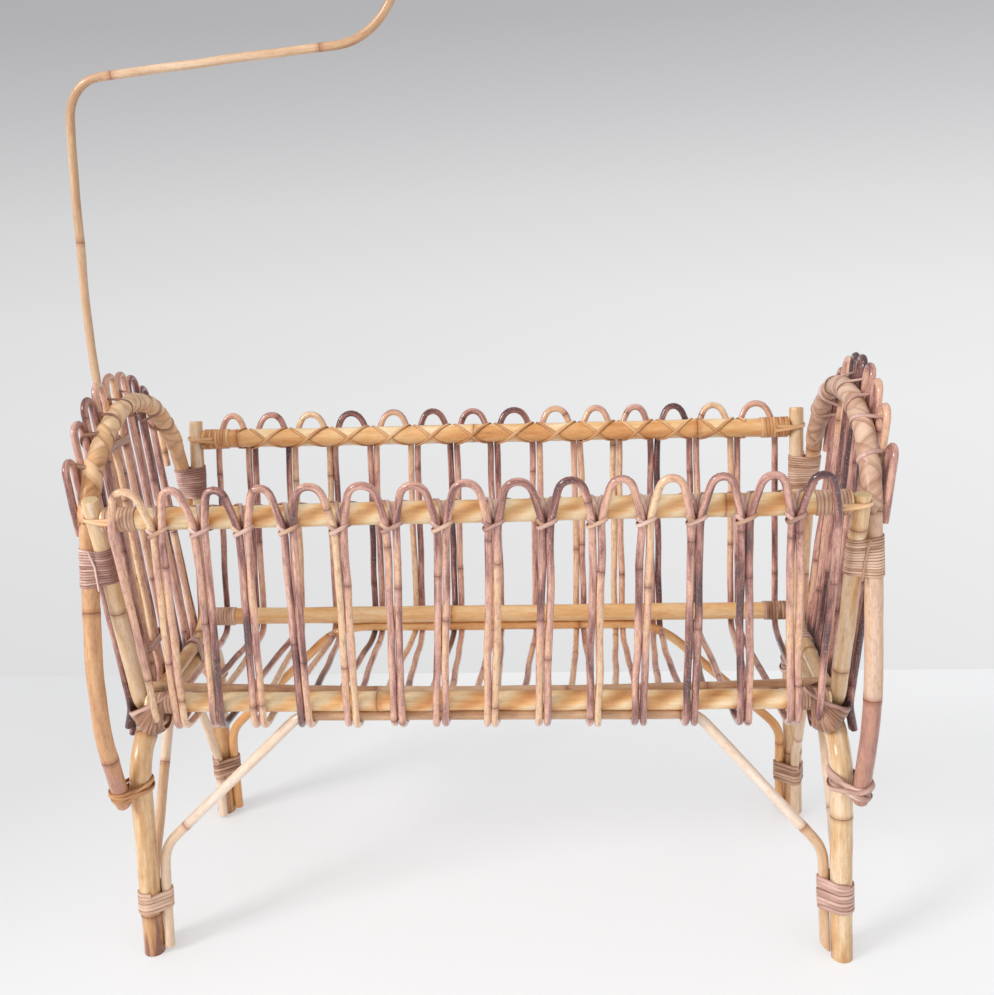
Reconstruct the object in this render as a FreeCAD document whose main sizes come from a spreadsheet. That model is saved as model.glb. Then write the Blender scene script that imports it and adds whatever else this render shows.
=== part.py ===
import FreeCAD, Part
import os
from math import acos, asin, atan, atan2, ceil, cos, hypot, pi, radians, sin, sqrt, tan

Vector = FreeCAD.Vector

# Rattan cradle: X runs along it, Y from front to rear, Z up, with the origin on the floor under its middle
doc = FreeCAD.newDocument("rattan_cradle")
sheet = doc.addObject("Spreadsheet::Sheet", "Sizes")

# Driving sizes in millimetres
driving_sizes = {
    "touch_gap": 0.3,
    "floor_overrun": 12,
    "half_length": 460,
    "post_diameter": 21,
    "post_rise": 28,
    "hoop_corner_radius": 40,
    "hoop_foot_half_width": 137,
    "crossbar_height": 350,
    "top_rail_diameter": 28,
    "top_rail_height": 645,
    "top_half_width": 200,
    "bottom_rail_diameter": 26,
    "bottom_rail_height": 370,
    "bottom_half_width": 146,
    "arch_diameter": 22,
    "arch_height": 745,
    "bow_corner_height": 400,
    "bow_radius": 400,
    "bow_end_height": 245,
    "leg_diameter": 29,
    "leg_splay": 15,
    "leg_foot_half_width": 178,
    "leg_top_half_width": 170,
    "leg_corner_radius": 60,
    "loop_diameter": 9.6,
    "loop_gap": 0.9,
    "front_loop_rise": 45,
    "rear_loop_rise": 31,
    "loop_tie_radius": 60,
    "loop_end_room": 12.6,
    "hook_radius": 20,
    "tail_bend_radius": 120,
    "front_tail_end_width": 10,
    "tail_flat_length": 50,
    "rear_tail_reach": 122,
    "end_loop_pitch": 38,
    "end_loop_rise": 40,
    "flank_loop_foot_height": 614,
    "floor_cane_diameter": 13,
    "floor_cane_overhang": 2,
    "floor_cane_end_width": 95,
    "floor_cane_bow": 20,
    "brace_diameter": 14,
    "brace_foot_height": 8,
    "brace_bend_height": 160,
    "brace_foot_radius": 45,
    "brace_top_radius": 28,
    "end_brace_diameter": 14,
    "end_brace_foot_height": 4,
    "end_brace_bend_height": 115,
    "end_brace_top_half_width": 45,
    "end_brace_radius": 45,
    "staff_diameter": 11,
    "staff_foot_height": 335,
    "staff_bow_height": 820,
    "staff_bow_radius": 1500,
    "staff_bend_height": 1161,
    "staff_bend_radius": 47,
    "staff_arm_length": 389,
    "staff_arm_rise": 32,
    "staff_tip_radius": 84,
    "staff_tip_reach": 70,
    "staff_tip_rise": 130,
    "strip_diameter": 2,
    "strip_pitch": 2.5,
    "lashing_diameter": 2.8,
    "lashing_pitch": 3.4,
    "post_lashing_height": 580,
    "cord_diameter": 4,
    "cord_pitch": 5,
    "foot_lashing_height": 72,
    "knee_lashing_height": 254,
    "staff_low_tie_height": 400,
    "staff_high_tie_height": 690,
}
for row, (alias, value) in enumerate(driving_sizes.items(), start=1):
    sheet.set(f"A{row}", alias)
    sheet.set(f"B{row}", str(value))
    sheet.setAlias(f"B{row}", alias)
doc.recompute()


def size(alias):
    return float(sheet.get(alias))


# Counts, leans and angles
front_loop_count = 15
rear_loop_count = 14
end_loop_side_count = 4
front_crossing_loop_steps = (4, 5)
rear_crossing_loop_steps = (5, 5)
bow_lean_share = 0.26
front_loop_lean_share = 0.12
rear_loop_lean_share = 0.24
loop_fan_share = {"front": 1.06, "rear": 1}
loop_drift_share = {"front": 0.3, "rear": 0}
staff_lean_in_share = 0.058
arch_binding_turns = 22
arch_binding_angle = radians(62)
rail_winding_turns = 15
post_lashing_turns = 14
foot_lashing_turns = 5
knee_lashing_turns = 4
wrap_turns = 5
staff_tie_turns = 4
quarter_turn = pi / 2
flat_share = 1e-6
spare_turn_share = 1 / 8
self_gap_turn_share = 3 / 4
biarc_arcs = 2
arc_points = 4

gap = size("touch_gap")
half_length = size("half_length")
post_radius = size("post_diameter") / 2
top_rail_radius = size("top_rail_diameter") / 2
bottom_rail_radius = size("bottom_rail_diameter") / 2
arch_radius = size("arch_diameter") / 2
leg_radius = size("leg_diameter") / 2
loop_radius = size("loop_diameter") / 2
brace_radius = size("brace_diameter") / 2
end_brace_radius = size("end_brace_diameter") / 2
floor_cane_radius = size("floor_cane_diameter") / 2
staff_radius = size("staff_diameter") / 2
strip = size("strip_diameter")
lashing = size("lashing_diameter")
cord = size("cord_diameter")
crossbar_height = size("crossbar_height")
top_rail_height = size("top_rail_height")
bottom_rail_height = size("bottom_rail_height")

nodes = []


def keep(piece, label):
    piece.Label = label
    nodes.append(piece)


# Bent canes: straight runs joined by tangent arcs
def bent_line(points, radii):
    edges = []
    start = points[0]
    for before, corner, after, radius in zip(points, points[1:], points[2:], radii):
        into = (corner - before).normalize()
        out = (after - corner).normalize()
        half_turn = into.getAngle(out) / 2
        first = corner - into * (radius * tan(half_turn))
        last = corner + out * (radius * tan(half_turn))
        middle = corner + (out - into).normalize() * (radius / cos(half_turn) - radius)
        if (first - start).Length > gap:
            edges.append(Part.LineSegment(start, first).toShape())
        edges.append(Part.Arc(first, middle, last).toShape())
        start = last
    edges.append(Part.LineSegment(start, points[-1]).toShape())
    return Part.Wire(edges)


def sweep(label, wire, diameter):
    line = doc.addObject("Part::Feature", label + "_line")
    line.Shape = wire
    first = wire.Edges[0]
    way = first.tangentAt(first.FirstParameter)
    section = doc.addObject("Part::Circle", label + "_section")
    section.setExpression("Radius", f"Sizes.{diameter} / 2")
    section.Placement = FreeCAD.Placement(
        first.valueAt(first.FirstParameter), FreeCAD.Rotation(Vector(0, 0, 1), way)
    )
    piece = doc.addObject("Part::Sweep", label)
    piece.Sections = [section]
    piece.Spine = (line, [f"Edge{number + 1}" for number in range(len(wire.Edges))])
    piece.Solid = True
    return piece


def cane(label, points, radii, diameter):
    piece = sweep(label, bent_line(points, radii), diameter)
    keep(piece, label)
    return piece


# Post hoops: the front post, the crossbar under the basket and the rear post in one cane
post_lean = (size("top_half_width") - size("hoop_foot_half_width")) / (top_rail_height - crossbar_height)


def post_width(height):
    return size("hoop_foot_half_width") + post_lean * (height - crossbar_height)


post_top = top_rail_height + size("post_rise")
for end, side in (("left", -1), ("right", 1)):
    across = [(-post_width(post_top), post_top), (-size("hoop_foot_half_width"), crossbar_height)]
    across += [(-y, z) for y, z in reversed(across)]
    cane(
        f"{end}_post_hoop",
        [Vector(side * half_length, y, z) for y, z in across],
        [size("hoop_corner_radius")] * 2,
        "post_diameter",
    )

# Rails: four straight canes that butt against the posts
rail_half_length = "(Sizes.half_length - Sizes.post_diameter / 2 - Sizes.touch_gap)"
for level in ("top", "bottom"):
    for face, sign in (("front", "-1"), ("rear", "1")):
        rail = doc.addObject("Part::Cylinder", f"{face}_{level}_rail")
        rail.setExpression("Radius", f"Sizes.{level}_rail_diameter / 2")
        rail.setExpression("Height", f"2 * {rail_half_length}")
        rail.Placement.Rotation = FreeCAD.Rotation(Vector(0, 0, 1), Vector(1, 0, 0))
        rail.setExpression("Placement.Base.x", f"-1 * {rail_half_length}")
        rail.setExpression("Placement.Base.y", f"{sign} * Sizes.{level}_half_width")
        rail.setExpression("Placement.Base.z", f"Sizes.{level}_rail_height")
        keep(rail, f"{face}_{level}_rail")

# Leg hoops: two legs and the bar between them under the crossbar, splayed and cut flat on the floor
leg_top = crossbar_height - post_radius - gap - leg_radius


def leg_length(height):
    return half_length + size("leg_splay") * (1 - height / leg_top)


def leg_width(height):
    foot = size("leg_foot_half_width")
    return foot + (size("leg_top_half_width") - foot) * height / leg_top


overrun = size("floor_overrun")
foot_half_length = "(Sizes.half_length + Sizes.leg_splay)"
for end, side in (("left", -1), ("right", 1)):
    corners = [(-1, -overrun), (-1, leg_top), (1, leg_top), (1, -overrun)]
    points = [Vector(side * leg_length(z), y * leg_width(z), z) for y, z in corners]
    blank = sweep(f"{end}_leg_blank", bent_line(points, [size("leg_corner_radius")] * 2), "leg_diameter")
    floor = doc.addObject("Part::Box", f"{end}_leg_floor")
    floor.setExpression("Length", f"2 * {foot_half_length}")
    floor.setExpression("Width", "4 * Sizes.leg_foot_half_width")
    floor.setExpression("Height", "3 * Sizes.floor_overrun")
    floor.setExpression("Placement.Base.x", f"({side} - 1) * {foot_half_length}")
    floor.setExpression("Placement.Base.y", "-2 * Sizes.leg_foot_half_width")
    floor.setExpression("Placement.Base.z", "-3 * Sizes.floor_overrun")
    hoop = doc.addObject("Part::Cut", f"{end}_leg_hoop")
    hoop.Base = blank
    hoop.Tool = floor
    keep(hoop, f"{end}_leg_hoop")

# Arches: one cane over each end, whose legs cross the posts and bow out to the knees of the legs
arch_x = half_length + post_radius + gap + arch_radius
arch_height = size("arch_height")
lashing_height = size("post_lashing_height")
bow_corner = size("bow_corner_height")
bow_end = size("bow_end_height")


def arch_leg_width(height):
    return post_width(lashing_height) + bow_lean_share * (lashing_height - height)


arch_top_radius = arch_leg_width(arch_height) / tan((quarter_turn - atan(bow_lean_share)) / 2)
arch_centre_height = arch_height - arch_top_radius
knee_reach = leg_radius + gap + arch_radius
bow_end_width = leg_width(bow_end) + sqrt(knee_reach**2 - (arch_x - leg_length(bow_end)) ** 2)
knee_lean = (arch_leg_width(bow_corner) - bow_end_width) / (bow_corner - bow_end)


def knee_width(height):
    return bow_end_width + knee_lean * (height - bow_end)


for end, side in (("left", -1), ("right", 1)):
    across = [
        (-bow_end_width, bow_end),
        (-arch_leg_width(bow_corner), bow_corner),
        (-arch_leg_width(arch_height), arch_height),
    ]
    across += [(-y, z) for y, z in reversed(across)]
    cane(
        f"{end}_arch",
        [Vector(side * arch_x, y, z) for y, z in across],
        [size("bow_radius"), arch_top_radius, arch_top_radius, size("bow_radius")],
        "arch_diameter",
    )

# End braces: a thin cane inside each leg hoop, up from both feet to the bar
end_brace_top = leg_top - leg_radius - gap - end_brace_radius
end_brace_step = leg_radius + gap + end_brace_radius


def end_brace_width(height):
    return leg_width(height) - end_brace_step


for end, side in (("left", -1), ("right", 1)):
    low = size("end_brace_foot_height")
    bend = size("end_brace_bend_height")
    across = [
        (-end_brace_width(low), low),
        (-end_brace_width(bend), bend),
        (-size("end_brace_top_half_width"), end_brace_top),
    ]
    across += [(-y, z) for y, z in reversed(across)]
    cane(
        f"{end}_end_brace",
        [Vector(side * leg_length(z), y, z) for y, z in across],
        [size("end_brace_radius")] * 4,
        "end_brace_diameter",
    )

# Side loops: hairpins outside the rails, their tails hooked under the bottom rails as the floor
top_offset = top_rail_radius + gap + strip + gap + loop_radius
bottom_offset = bottom_rail_radius + gap + strip + gap + loop_radius
rail_step = size("top_half_width") - size("bottom_half_width")
rail_rise = top_rail_height - bottom_rail_height
loop_lean = atan2(rail_step, rail_rise) + asin((top_offset - bottom_offset) / hypot(rail_step, rail_rise))
brace_height = bottom_rail_height - bottom_rail_radius - gap - brace_radius
tail_height = brace_height - brace_radius - gap - loop_radius
tie_height = top_rail_height - top_rail_radius
loop_row = 2 * (half_length - post_radius - size("loop_end_room")) + size("loop_gap")


def loop_width(height):
    foot_height = bottom_rail_height - bottom_offset * sin(loop_lean)
    foot_width = size("bottom_half_width") + bottom_offset * cos(loop_lean)
    return foot_width + (height - foot_height) * tan(loop_lean)


hook_width = loop_width(tail_height)
climb_width = hook_width - size("tail_flat_length")
tail_climb = (size("loop_diameter") + 2 * gap) / (climb_width + size("front_tail_end_width"))


def rear_tail_height(width):
    return tail_height + tail_climb * (climb_width - width)


# The front legs fan out on their way down, and most of them drift to the left
loop_pitch = {"front": loop_row / front_loop_count, "rear": loop_row / rear_loop_count}
outer_leg = (loop_row - size("loop_gap") - size("loop_diameter")) / 2


def loop_foot(face, x):
    drift = loop_drift_share[face] * loop_pitch[face]
    return x * loop_fan_share[face] - drift * (1 - (x / outer_leg) ** 2)


# The front tails lie flat and stop short of the middle, and the rear ones climb over them
front_tail = [(size("front_tail_end_width"), tail_height)]
rear_tail = [
    (-size("rear_tail_reach"), rear_tail_height(-size("rear_tail_reach"))),
    (climb_width, tail_height),
]
for face, sign, count, tail, lean_share in (
    ("front", -1, front_loop_count, front_tail, front_loop_lean_share),
    ("rear", 1, rear_loop_count, rear_tail, rear_loop_lean_share),
):
    pitch = loop_pitch[face]
    half_spread = (pitch - size("loop_gap") - size("loop_diameter")) / 2
    tail_length = hook_width - tail[0][0]
    tail_share = pitch / 4 / half_spread
    loop_top = top_rail_height + size(f"{face}_loop_rise")
    top_half_spread = half_spread - lean_share * (loop_top - tie_height)
    top_bend = top_half_spread / tan((quarter_turn - atan(lean_share * cos(loop_lean))) / 2)
    bends = [size("tail_bend_radius")] * (len(tail) - 1)
    bends += [size("hook_radius"), size("loop_tie_radius"), top_bend]
    for number in range(count):
        centre = pitch * (number - (count - 1) / 2)
        feet = [centre - half_spread, centre + half_spread]
        feet = [loop_foot(face, x) if abs(x) < outer_leg - gap else x for x in feet]
        middle = sum(feet) / 2
        legs = []
        for way, foot in zip((-1, 1), feet):
            turned_in = (tail_share - 1) * (foot - middle) / tail_length
            leg = [Vector(foot + turned_in * (hook_width - y), sign * y, z) for y, z in tail]
            leg.append(Vector(foot, sign * hook_width, tail_height))
            leg.append(Vector(centre + way * half_spread, sign * loop_width(tie_height), tie_height))
            leg.append(Vector(centre + way * top_half_spread, sign * loop_width(loop_top), loop_top))
            legs.append(leg)
        cane(f"{face}_loop_{number + 1:02d}", legs[0] + legs[1][::-1], bends + bends[::-1], "loop_diameter")

# Floor cane: lies on the tails, bowed towards the front
floor_cane_front = size("floor_cane_end_width") + size("floor_cane_bow")
floor_cane_height = rear_tail_height(-floor_cane_front) + loop_radius + 2 * gap + floor_cane_radius
floor_cane_end = half_length + size("floor_cane_overhang")
floor_arc = Part.Arc(
    Vector(-floor_cane_end, -size("floor_cane_end_width"), floor_cane_height),
    Vector(0, -floor_cane_front, floor_cane_height),
    Vector(floor_cane_end, -size("floor_cane_end_width"), floor_cane_height),
)
keep(sweep("floor_cane", Part.Wire([floor_arc.toShape()]), "floor_cane_diameter"), "floor_cane")

# Long braces: from foot to foot under the bottom rails, passing down between two loops
brace_step = leg_radius + gap + brace_radius
brace_tilt = (size("leg_foot_half_width") - size("bottom_half_width")) / brace_height


def brace_length(height):
    return leg_length(height) - brace_step


def brace_width(height):
    return size("bottom_half_width") + brace_tilt * (brace_height - height)


for face, sign, count, crossing_loop_steps in (
    ("front", -1, front_loop_count, front_crossing_loop_steps),
    ("rear", 1, rear_loop_count, rear_crossing_loop_steps),
):
    low = size("brace_foot_height")
    bend = size("brace_bend_height")
    run = []
    for side, steps in zip((-1, 1), crossing_loop_steps):
        crossing = abs(loop_foot(face, side * loop_pitch[face] * (steps - (count + 1) % 2 / 2)))
        slope = (brace_length(bend) - crossing) / (tail_height - bend)
        half_run = [
            (side * brace_length(low), low),
            (side * brace_length(bend), bend),
            (side * (crossing - slope * (brace_height - tail_height)), brace_height),
        ]
        run += half_run[::-side]
    foot_bend = size("brace_foot_radius")
    top_bend = size("brace_top_radius")
    cane(
        f"{face}_long_brace",
        [Vector(x, sign * brace_width(z), z) for x, z in run],
        [foot_bend, top_bend, top_bend, foot_bend],
        "brace_diameter",
    )

# End loops: nine hairpins outside each arch, leaning in to the crossbar
end_pitch = size("end_loop_pitch")
end_half_spread = (end_pitch - size("loop_gap") - size("loop_diameter")) / 2
loop_arch_x = arch_x + arch_radius + gap + strip + gap + loop_radius
loop_foot_x = half_length + post_radius + gap + loop_radius


def arch_top_at(width):
    return arch_centre_height + sqrt(arch_top_radius**2 - width**2)


def end_loop_x(number, height):
    seat = arch_top_at(abs(number) * end_pitch + end_half_spread)
    return loop_foot_x + (loop_arch_x - loop_foot_x) * (height - crossbar_height) / (seat - crossbar_height)


for end, side in (("left", -1), ("right", 1)):
    hairpins = []
    for number in range(-end_loop_side_count, end_loop_side_count + 1):
        centre = number * end_pitch
        top = arch_top_at(centre) + size("end_loop_rise")
        feet = [crossbar_height - post_radius - gap] * 2
        if number == -end_loop_side_count:
            feet[0] = size("flank_loop_foot_height")
        if number == end_loop_side_count:
            feet[1] = size("flank_loop_foot_height")
        corners = [
            (centre - end_half_spread, feet[0]),
            (centre - end_half_spread, top),
            (centre + end_half_spread, top),
            (centre + end_half_spread, feet[1]),
        ]
        path = bent_line(
            [Vector(side * end_loop_x(number, z), y, z) for y, z in corners], [end_half_spread] * 2
        )
        hairpins.append(sweep(f"{end}_end_loop_{number + end_loop_side_count + 1}", path, "loop_diameter"))
    group = doc.addObject("Part::Compound", f"{end}_end_loops")
    group.Links = hairpins
    keep(group, f"{end}_end_loops")

# Veil staff: a thin cane against two end loops at the left, bent over the cradle
staff_y = -end_pitch / 2
pair_half = (size("loop_diameter") + size("loop_gap")) / 2
staff_step = sqrt((loop_radius + 2 * gap + staff_radius) ** 2 - pair_half**2)


def staff_x(height):
    return -(end_loop_x(-1, height) + staff_step)


bow_height = size("staff_bow_height")
bend_height = size("staff_bend_height")
bend_x = staff_x(bow_height) + staff_lean_in_share * (bend_height - bow_height)
arm_x = bend_x + size("staff_arm_length")
arm_height = bend_height + size("staff_arm_rise")
staff_run = [
    (staff_x(size("staff_foot_height")), size("staff_foot_height")),
    (staff_x(bow_height), bow_height),
    (bend_x, bend_height),
    (arm_x, arm_height),
    (arm_x + size("staff_tip_reach"), arm_height + size("staff_tip_rise")),
]
cane(
    "veil_staff",
    [Vector(x, staff_y, z) for x, z in staff_run],
    [size("staff_bow_radius"), size("staff_bend_radius"), size("staff_tip_radius")],
    "staff_diameter",
)


# Windings: one unbroken strip each, on pairs of tangent arcs
def arc_to(start, corner, end):
    middle = (start + end) / 2
    half_chord = (end - start).Length / 2
    bulge = corner - middle
    if bulge.Length < flat_share * half_chord:
        return Part.LineSegment(start, end).toShape()
    quarter = atan2(bulge.Length, half_chord) / 2
    return Part.Arc(start, middle + bulge.normalize() * (half_chord * tan(quarter)), end).toShape()


def biarc(start, start_way, end, end_way):
    chord = end - start
    along = chord.dot(start_way + end_way)
    spread = 2 * (1 - start_way.dot(end_way))
    if spread < flat_share**2:
        reach = chord.dot(chord) / (2 * along)
    else:
        reach = (sqrt(along**2 + spread * chord.dot(chord)) - along) / spread
    first = start + start_way * reach
    second = end - end_way * reach
    joint = (first + second) / 2
    return [arc_to(start, first, joint), arc_to(joint, second, end)]


def wound_strip(name, stations, diameter, stations_apart):
    head, head_way = stations[0]
    tail_end, tail_way = stations[-1]
    edges = [Part.LineSegment(head - head_way * diameter, head).toShape()]
    for (start, start_way), (end, end_way) in zip(stations, stations[1:]):
        edges += biarc(start, start_way, end, end_way)
    edges.append(Part.LineSegment(tail_end, tail_end + tail_way * diameter).toShape())
    wire = Part.Wire(edges)
    ring = Part.Circle(head - head_way * diameter, head_way, diameter / 2).toShape()
    tube = wire.makePipeShell([Part.Wire([ring])], True, False)
    trail = [point for edge in edges for point in edge.discretize(Number=arc_points + 1)[:-1]]
    apart = biarc_arcs * arc_points * stations_apart
    least = min((a - b).Length for n, a in enumerate(trail) for b in trail[n + apart:])
    print(f"{name}: least gap to itself {least - diameter:.2f} mm")
    return tube


def belt_stations(canes_at, pitch, turns, frame):
    """Stations of a taut winding round the circles (u, v, radius) that canes_at gives, counter-clockwise."""
    origin, u_way, v_way, rise_way = frame
    stations = []
    for turn in range(turns):
        circles = canes_at(pitch * (turn + 1 / 2))
        if len(circles) == 1:
            arcs = [(circles[0], 0, 2 * pi)]
        else:
            exits = []
            for (ua, va, ra), (ub, vb, rb) in zip(circles, circles[1:] + circles[:1]):
                line = atan2(vb - va, ub - ua)
                exits.append(line - acos((ra - rb) / hypot(ub - ua, vb - va)))
            arcs = [
                (circle, entry, entry + (leave - entry) % (2 * pi))
                for circle, entry, leave in zip(circles, exits[-1:] + exits[:-1], exits)
            ]
        walked = 0
        stops = []
        for number, ((u, v, radius), entry, leave) in enumerate(arcs):
            steps = max(1, ceil((leave - entry) / quarter_turn - spare_turn_share))
            for step in range(steps + (len(circles) > 1)):
                angle = entry + (leave - entry) * step / steps
                stops.append((walked + radius * (angle - entry), number, angle))
            walked += radius * (leave - entry)
            if len(circles) > 1:
                un, vn, rn = arcs[(number + 1) % len(arcs)][0]
                walked += sqrt((un - u) ** 2 + (vn - v) ** 2 - (rn - radius) ** 2)
        for distance, number, angle in stops:
            rise = pitch * (turn + distance / walked)
            u, v, radius = canes_at(rise)[number]
            place = origin + u_way * (u + radius * cos(angle)) + v_way * (v + radius * sin(angle))
            way = u_way * (-sin(angle)) + v_way * cos(angle) + rise_way * (pitch / walked)
            stations.append((place + rise_way * rise, way.normalize()))
    return stations, len(stops)


def wind(name, canes_at, pitch, turns, frame, diameter):
    stations, turn_stations = belt_stations(canes_at, pitch, turns, frame)
    return wound_strip(name, stations, diameter, int(turn_stations * self_gap_turn_share))


def seat_radius(radius, lean, wire):
    return radius * sqrt(1 + lean**2) + gap + wire / 2


def keep_windings(label, tubes):
    group = doc.addObject("Part::Feature", label)
    group.Shape = Part.makeCompound(tubes)
    keep(group, label)


corner_frames = [
    (f"{end} {face}", Vector(side, 0, 0), Vector(0, sign, 0), Vector(0, 0, 1))
    for end, side in (("left", -1), ("right", 1))
    for face, sign in (("front", -1), ("rear", 1))
]

# Rail-end windings: the strip that starts at each post and covers the last of the rail
tubes = []
winding_length = size("strip_pitch") * rail_winding_turns
winding_start = half_length - post_radius - 2 * gap - winding_length - 2 * strip
for level in ("top", "bottom"):
    rail_radius = size(f"{level}_rail_diameter") / 2
    for corner, x_way, y_way, z_way in corner_frames:
        origin = (
            x_way * winding_start
            + y_way * size(f"{level}_half_width")
            + z_way * size(f"{level}_rail_height")
        )
        tubes.append(
            wind(
                f"{corner} {level} rail winding",
                lambda rise: [(0, 0, rail_radius + gap + strip / 2)],
                size("strip_pitch"),
                rail_winding_turns,
                (origin, y_way, z_way, x_way),
                strip,
            )
        )
keep_windings("rail_end_windings", tubes)

# Post lashings: round the post and the arch where they cross
lashing_length = size("lashing_pitch") * post_lashing_turns
lashing_foot = lashing_height - lashing_length / 2


def post_and_arch(rise):
    height = lashing_foot + rise
    return [
        (half_length, post_width(height), seat_radius(post_radius, post_lean, lashing)),
        (arch_x, arch_leg_width(height), seat_radius(arch_radius, bow_lean_share, lashing)),
    ]


tubes = []
for corner, x_way, y_way, z_way in corner_frames:
    frame = (z_way * lashing_foot, x_way, y_way, z_way)
    name = f"{corner} post lashing"
    tubes.append(wind(name, post_and_arch, size("lashing_pitch"), post_lashing_turns, frame, lashing))
keep_windings("post_lashings", tubes)

# Foot lashings: round the leg, the long brace and the end brace
foot_lashing = size("foot_lashing_height")


def foot_canes(rise):
    height = foot_lashing + rise
    return [
        (leg_length(height), end_brace_width(height), seat_radius(end_brace_radius, brace_tilt, cord)),
        (leg_length(height), leg_width(height), seat_radius(leg_radius, brace_tilt, cord)),
        (brace_length(height), brace_width(height), seat_radius(brace_radius, brace_tilt, cord)),
    ]


tubes = []
for corner, x_way, y_way, z_way in corner_frames:
    frame = (z_way * foot_lashing, x_way, y_way, z_way)
    name = f"{corner} foot lashing"
    tubes.append(wind(name, foot_canes, size("cord_pitch"), foot_lashing_turns, frame, cord))
keep_windings("foot_lashings", tubes)

# Knee lashings: round the leg and the end of the bow
knee_lashing = size("knee_lashing_height")


def knee_canes(rise):
    height = knee_lashing + rise
    return [
        (leg_length(height), leg_width(height), seat_radius(leg_radius, brace_tilt, cord)),
        (arch_x, knee_width(height), seat_radius(arch_radius, knee_lean, cord)),
    ]


tubes = []
for corner, x_way, y_way, z_way in corner_frames:
    frame = (z_way * knee_lashing, x_way, y_way, z_way)
    name = f"{corner} knee lashing"
    tubes.append(wind(name, knee_canes, size("cord_pitch"), knee_lashing_turns, frame, cord))
keep_windings("knee_lashings", tubes)

# Crossbar lashings: hold the bar of each leg hoop up to the crossbar, inside the third end loops
wrap_length = size("lashing_pitch") * wrap_turns
wrap_start = 2 * end_pitch - wrap_length / 2


def crossbar_canes(rise):
    return [
        (half_length, leg_top, leg_radius + gap + lashing / 2),
        (half_length, crossbar_height, post_radius + gap + lashing / 2),
    ]


tubes = []
for corner, x_way, y_way, z_way in corner_frames:
    frame = (y_way * wrap_start, x_way, z_way, y_way)
    name = f"{corner} crossbar lashing"
    tubes.append(wind(name, crossbar_canes, size("lashing_pitch"), wrap_turns, frame, lashing))
keep_windings("crossbar_lashings", tubes)

# Arch bindings: a strip wound along the top of each arch
arch_seat = arch_radius + gap + strip / 2
half_turns = 2 * arch_binding_turns
stations_apart = int(2 * pi / quarter_turn * self_gap_turn_share)
for end, side in (("left", -1), ("right", 1)):
    stations = []
    for step in range(half_turns * 2 + 1):
        spin = quarter_turn * step
        swing = arch_binding_angle * (step / half_turns - 1)
        swing_rate = arch_binding_angle / half_turns / quarter_turn
        out = Vector(0, sin(swing), cos(swing))
        along = Vector(0, cos(swing), -sin(swing))
        reach = arch_top_radius + arch_seat * cos(spin)
        place = Vector(side * (arch_x + arch_seat * sin(spin)), 0, arch_centre_height) + out * reach
        way = out * (-arch_seat * sin(spin)) + along * (reach * swing_rate)
        way += Vector(side * arch_seat * cos(spin), 0, 0)
        stations.append((place, way.normalize()))
    tube = wound_strip(f"{end} arch binding", stations, strip, stations_apart)
    keep_windings(f"{end}_arch_binding", [tube])

# Top rail bindings: a strip wound along each top rail, one turn to a loop
for face, sign, count in (("front", -1, front_loop_count), ("rear", 1, rear_loop_count)):
    turns = count - 1
    run = 2 * (winding_start - 2 * strip)
    origin = Vector(-run / 2, sign * size("top_half_width"), top_rail_height)
    frame = (origin, Vector(0, sign, 0), Vector(0, 0, 1), Vector(1, 0, 0))
    tube = wind(
        f"{face} rail binding",
        lambda rise: [(0, 0, top_rail_radius + gap + strip / 2)],
        run / turns,
        turns,
        frame,
        strip,
    )
    keep_windings(f"{face}_rail_binding", [tube])

# Staff ties: round the staff and the two loop canes that it stands against
tubes = []
for place, tie_height in (("low", size("staff_low_tie_height")), ("high", size("staff_high_tie_height"))):

    def staff_canes(rise):
        height = tie_height + rise
        canes = [
            (-staff_x(height), staff_y, staff_radius + gap + strip / 2),
            (end_loop_x(0, height), staff_y + pair_half, loop_radius + gap + strip / 2),
            (end_loop_x(-1, height), staff_y - pair_half, loop_radius + gap + strip / 2),
        ]
        return canes

    frame = (Vector(0, 0, tie_height), Vector(-1, 0, 0), Vector(0, 1, 0), Vector(0, 0, 1))
    tubes.append(
        wind(f"{place} staff tie", staff_canes, size("strip_pitch"), staff_tie_turns, frame, strip)
    )
keep_windings("staff_ties", tubes)

# Every piece is whole before any is written
doc.recompute()
for piece in nodes:
    if "Invalid" in piece.State or "Error" in piece.State:
        raise RuntimeError(f"{piece.Label} did not build: {piece.State}")
    if piece.Shape.isNull() or not piece.Shape.isValid() or not piece.Shape.Solids:
        raise RuntimeError(f"{piece.Label} has no sound solid")
os.makedirs("parts", exist_ok=True)
for piece in nodes:
    piece.Shape.exportStep(f"parts/{piece.Label}.step")
print(len(nodes), "nodes")
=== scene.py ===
from math import asin, atan, atan2, ceil, cos, hypot, pi, radians, sin, sqrt, tan

import bpy
import numpy as np
from mathutils import Matrix, Quaternion, Vector


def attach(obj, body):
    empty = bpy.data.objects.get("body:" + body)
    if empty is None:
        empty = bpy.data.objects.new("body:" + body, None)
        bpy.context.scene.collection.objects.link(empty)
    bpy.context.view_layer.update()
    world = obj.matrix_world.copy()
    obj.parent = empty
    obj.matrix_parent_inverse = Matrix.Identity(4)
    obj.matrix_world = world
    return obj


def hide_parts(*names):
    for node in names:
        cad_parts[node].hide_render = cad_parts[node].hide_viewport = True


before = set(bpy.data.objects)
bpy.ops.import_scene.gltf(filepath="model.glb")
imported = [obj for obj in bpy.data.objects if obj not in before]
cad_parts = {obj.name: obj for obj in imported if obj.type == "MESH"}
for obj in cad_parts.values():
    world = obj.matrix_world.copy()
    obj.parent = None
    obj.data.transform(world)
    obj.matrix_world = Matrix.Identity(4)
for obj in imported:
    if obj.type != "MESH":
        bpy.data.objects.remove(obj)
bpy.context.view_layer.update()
bpy.ops.object.select_all(action="DESELECT")

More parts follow.
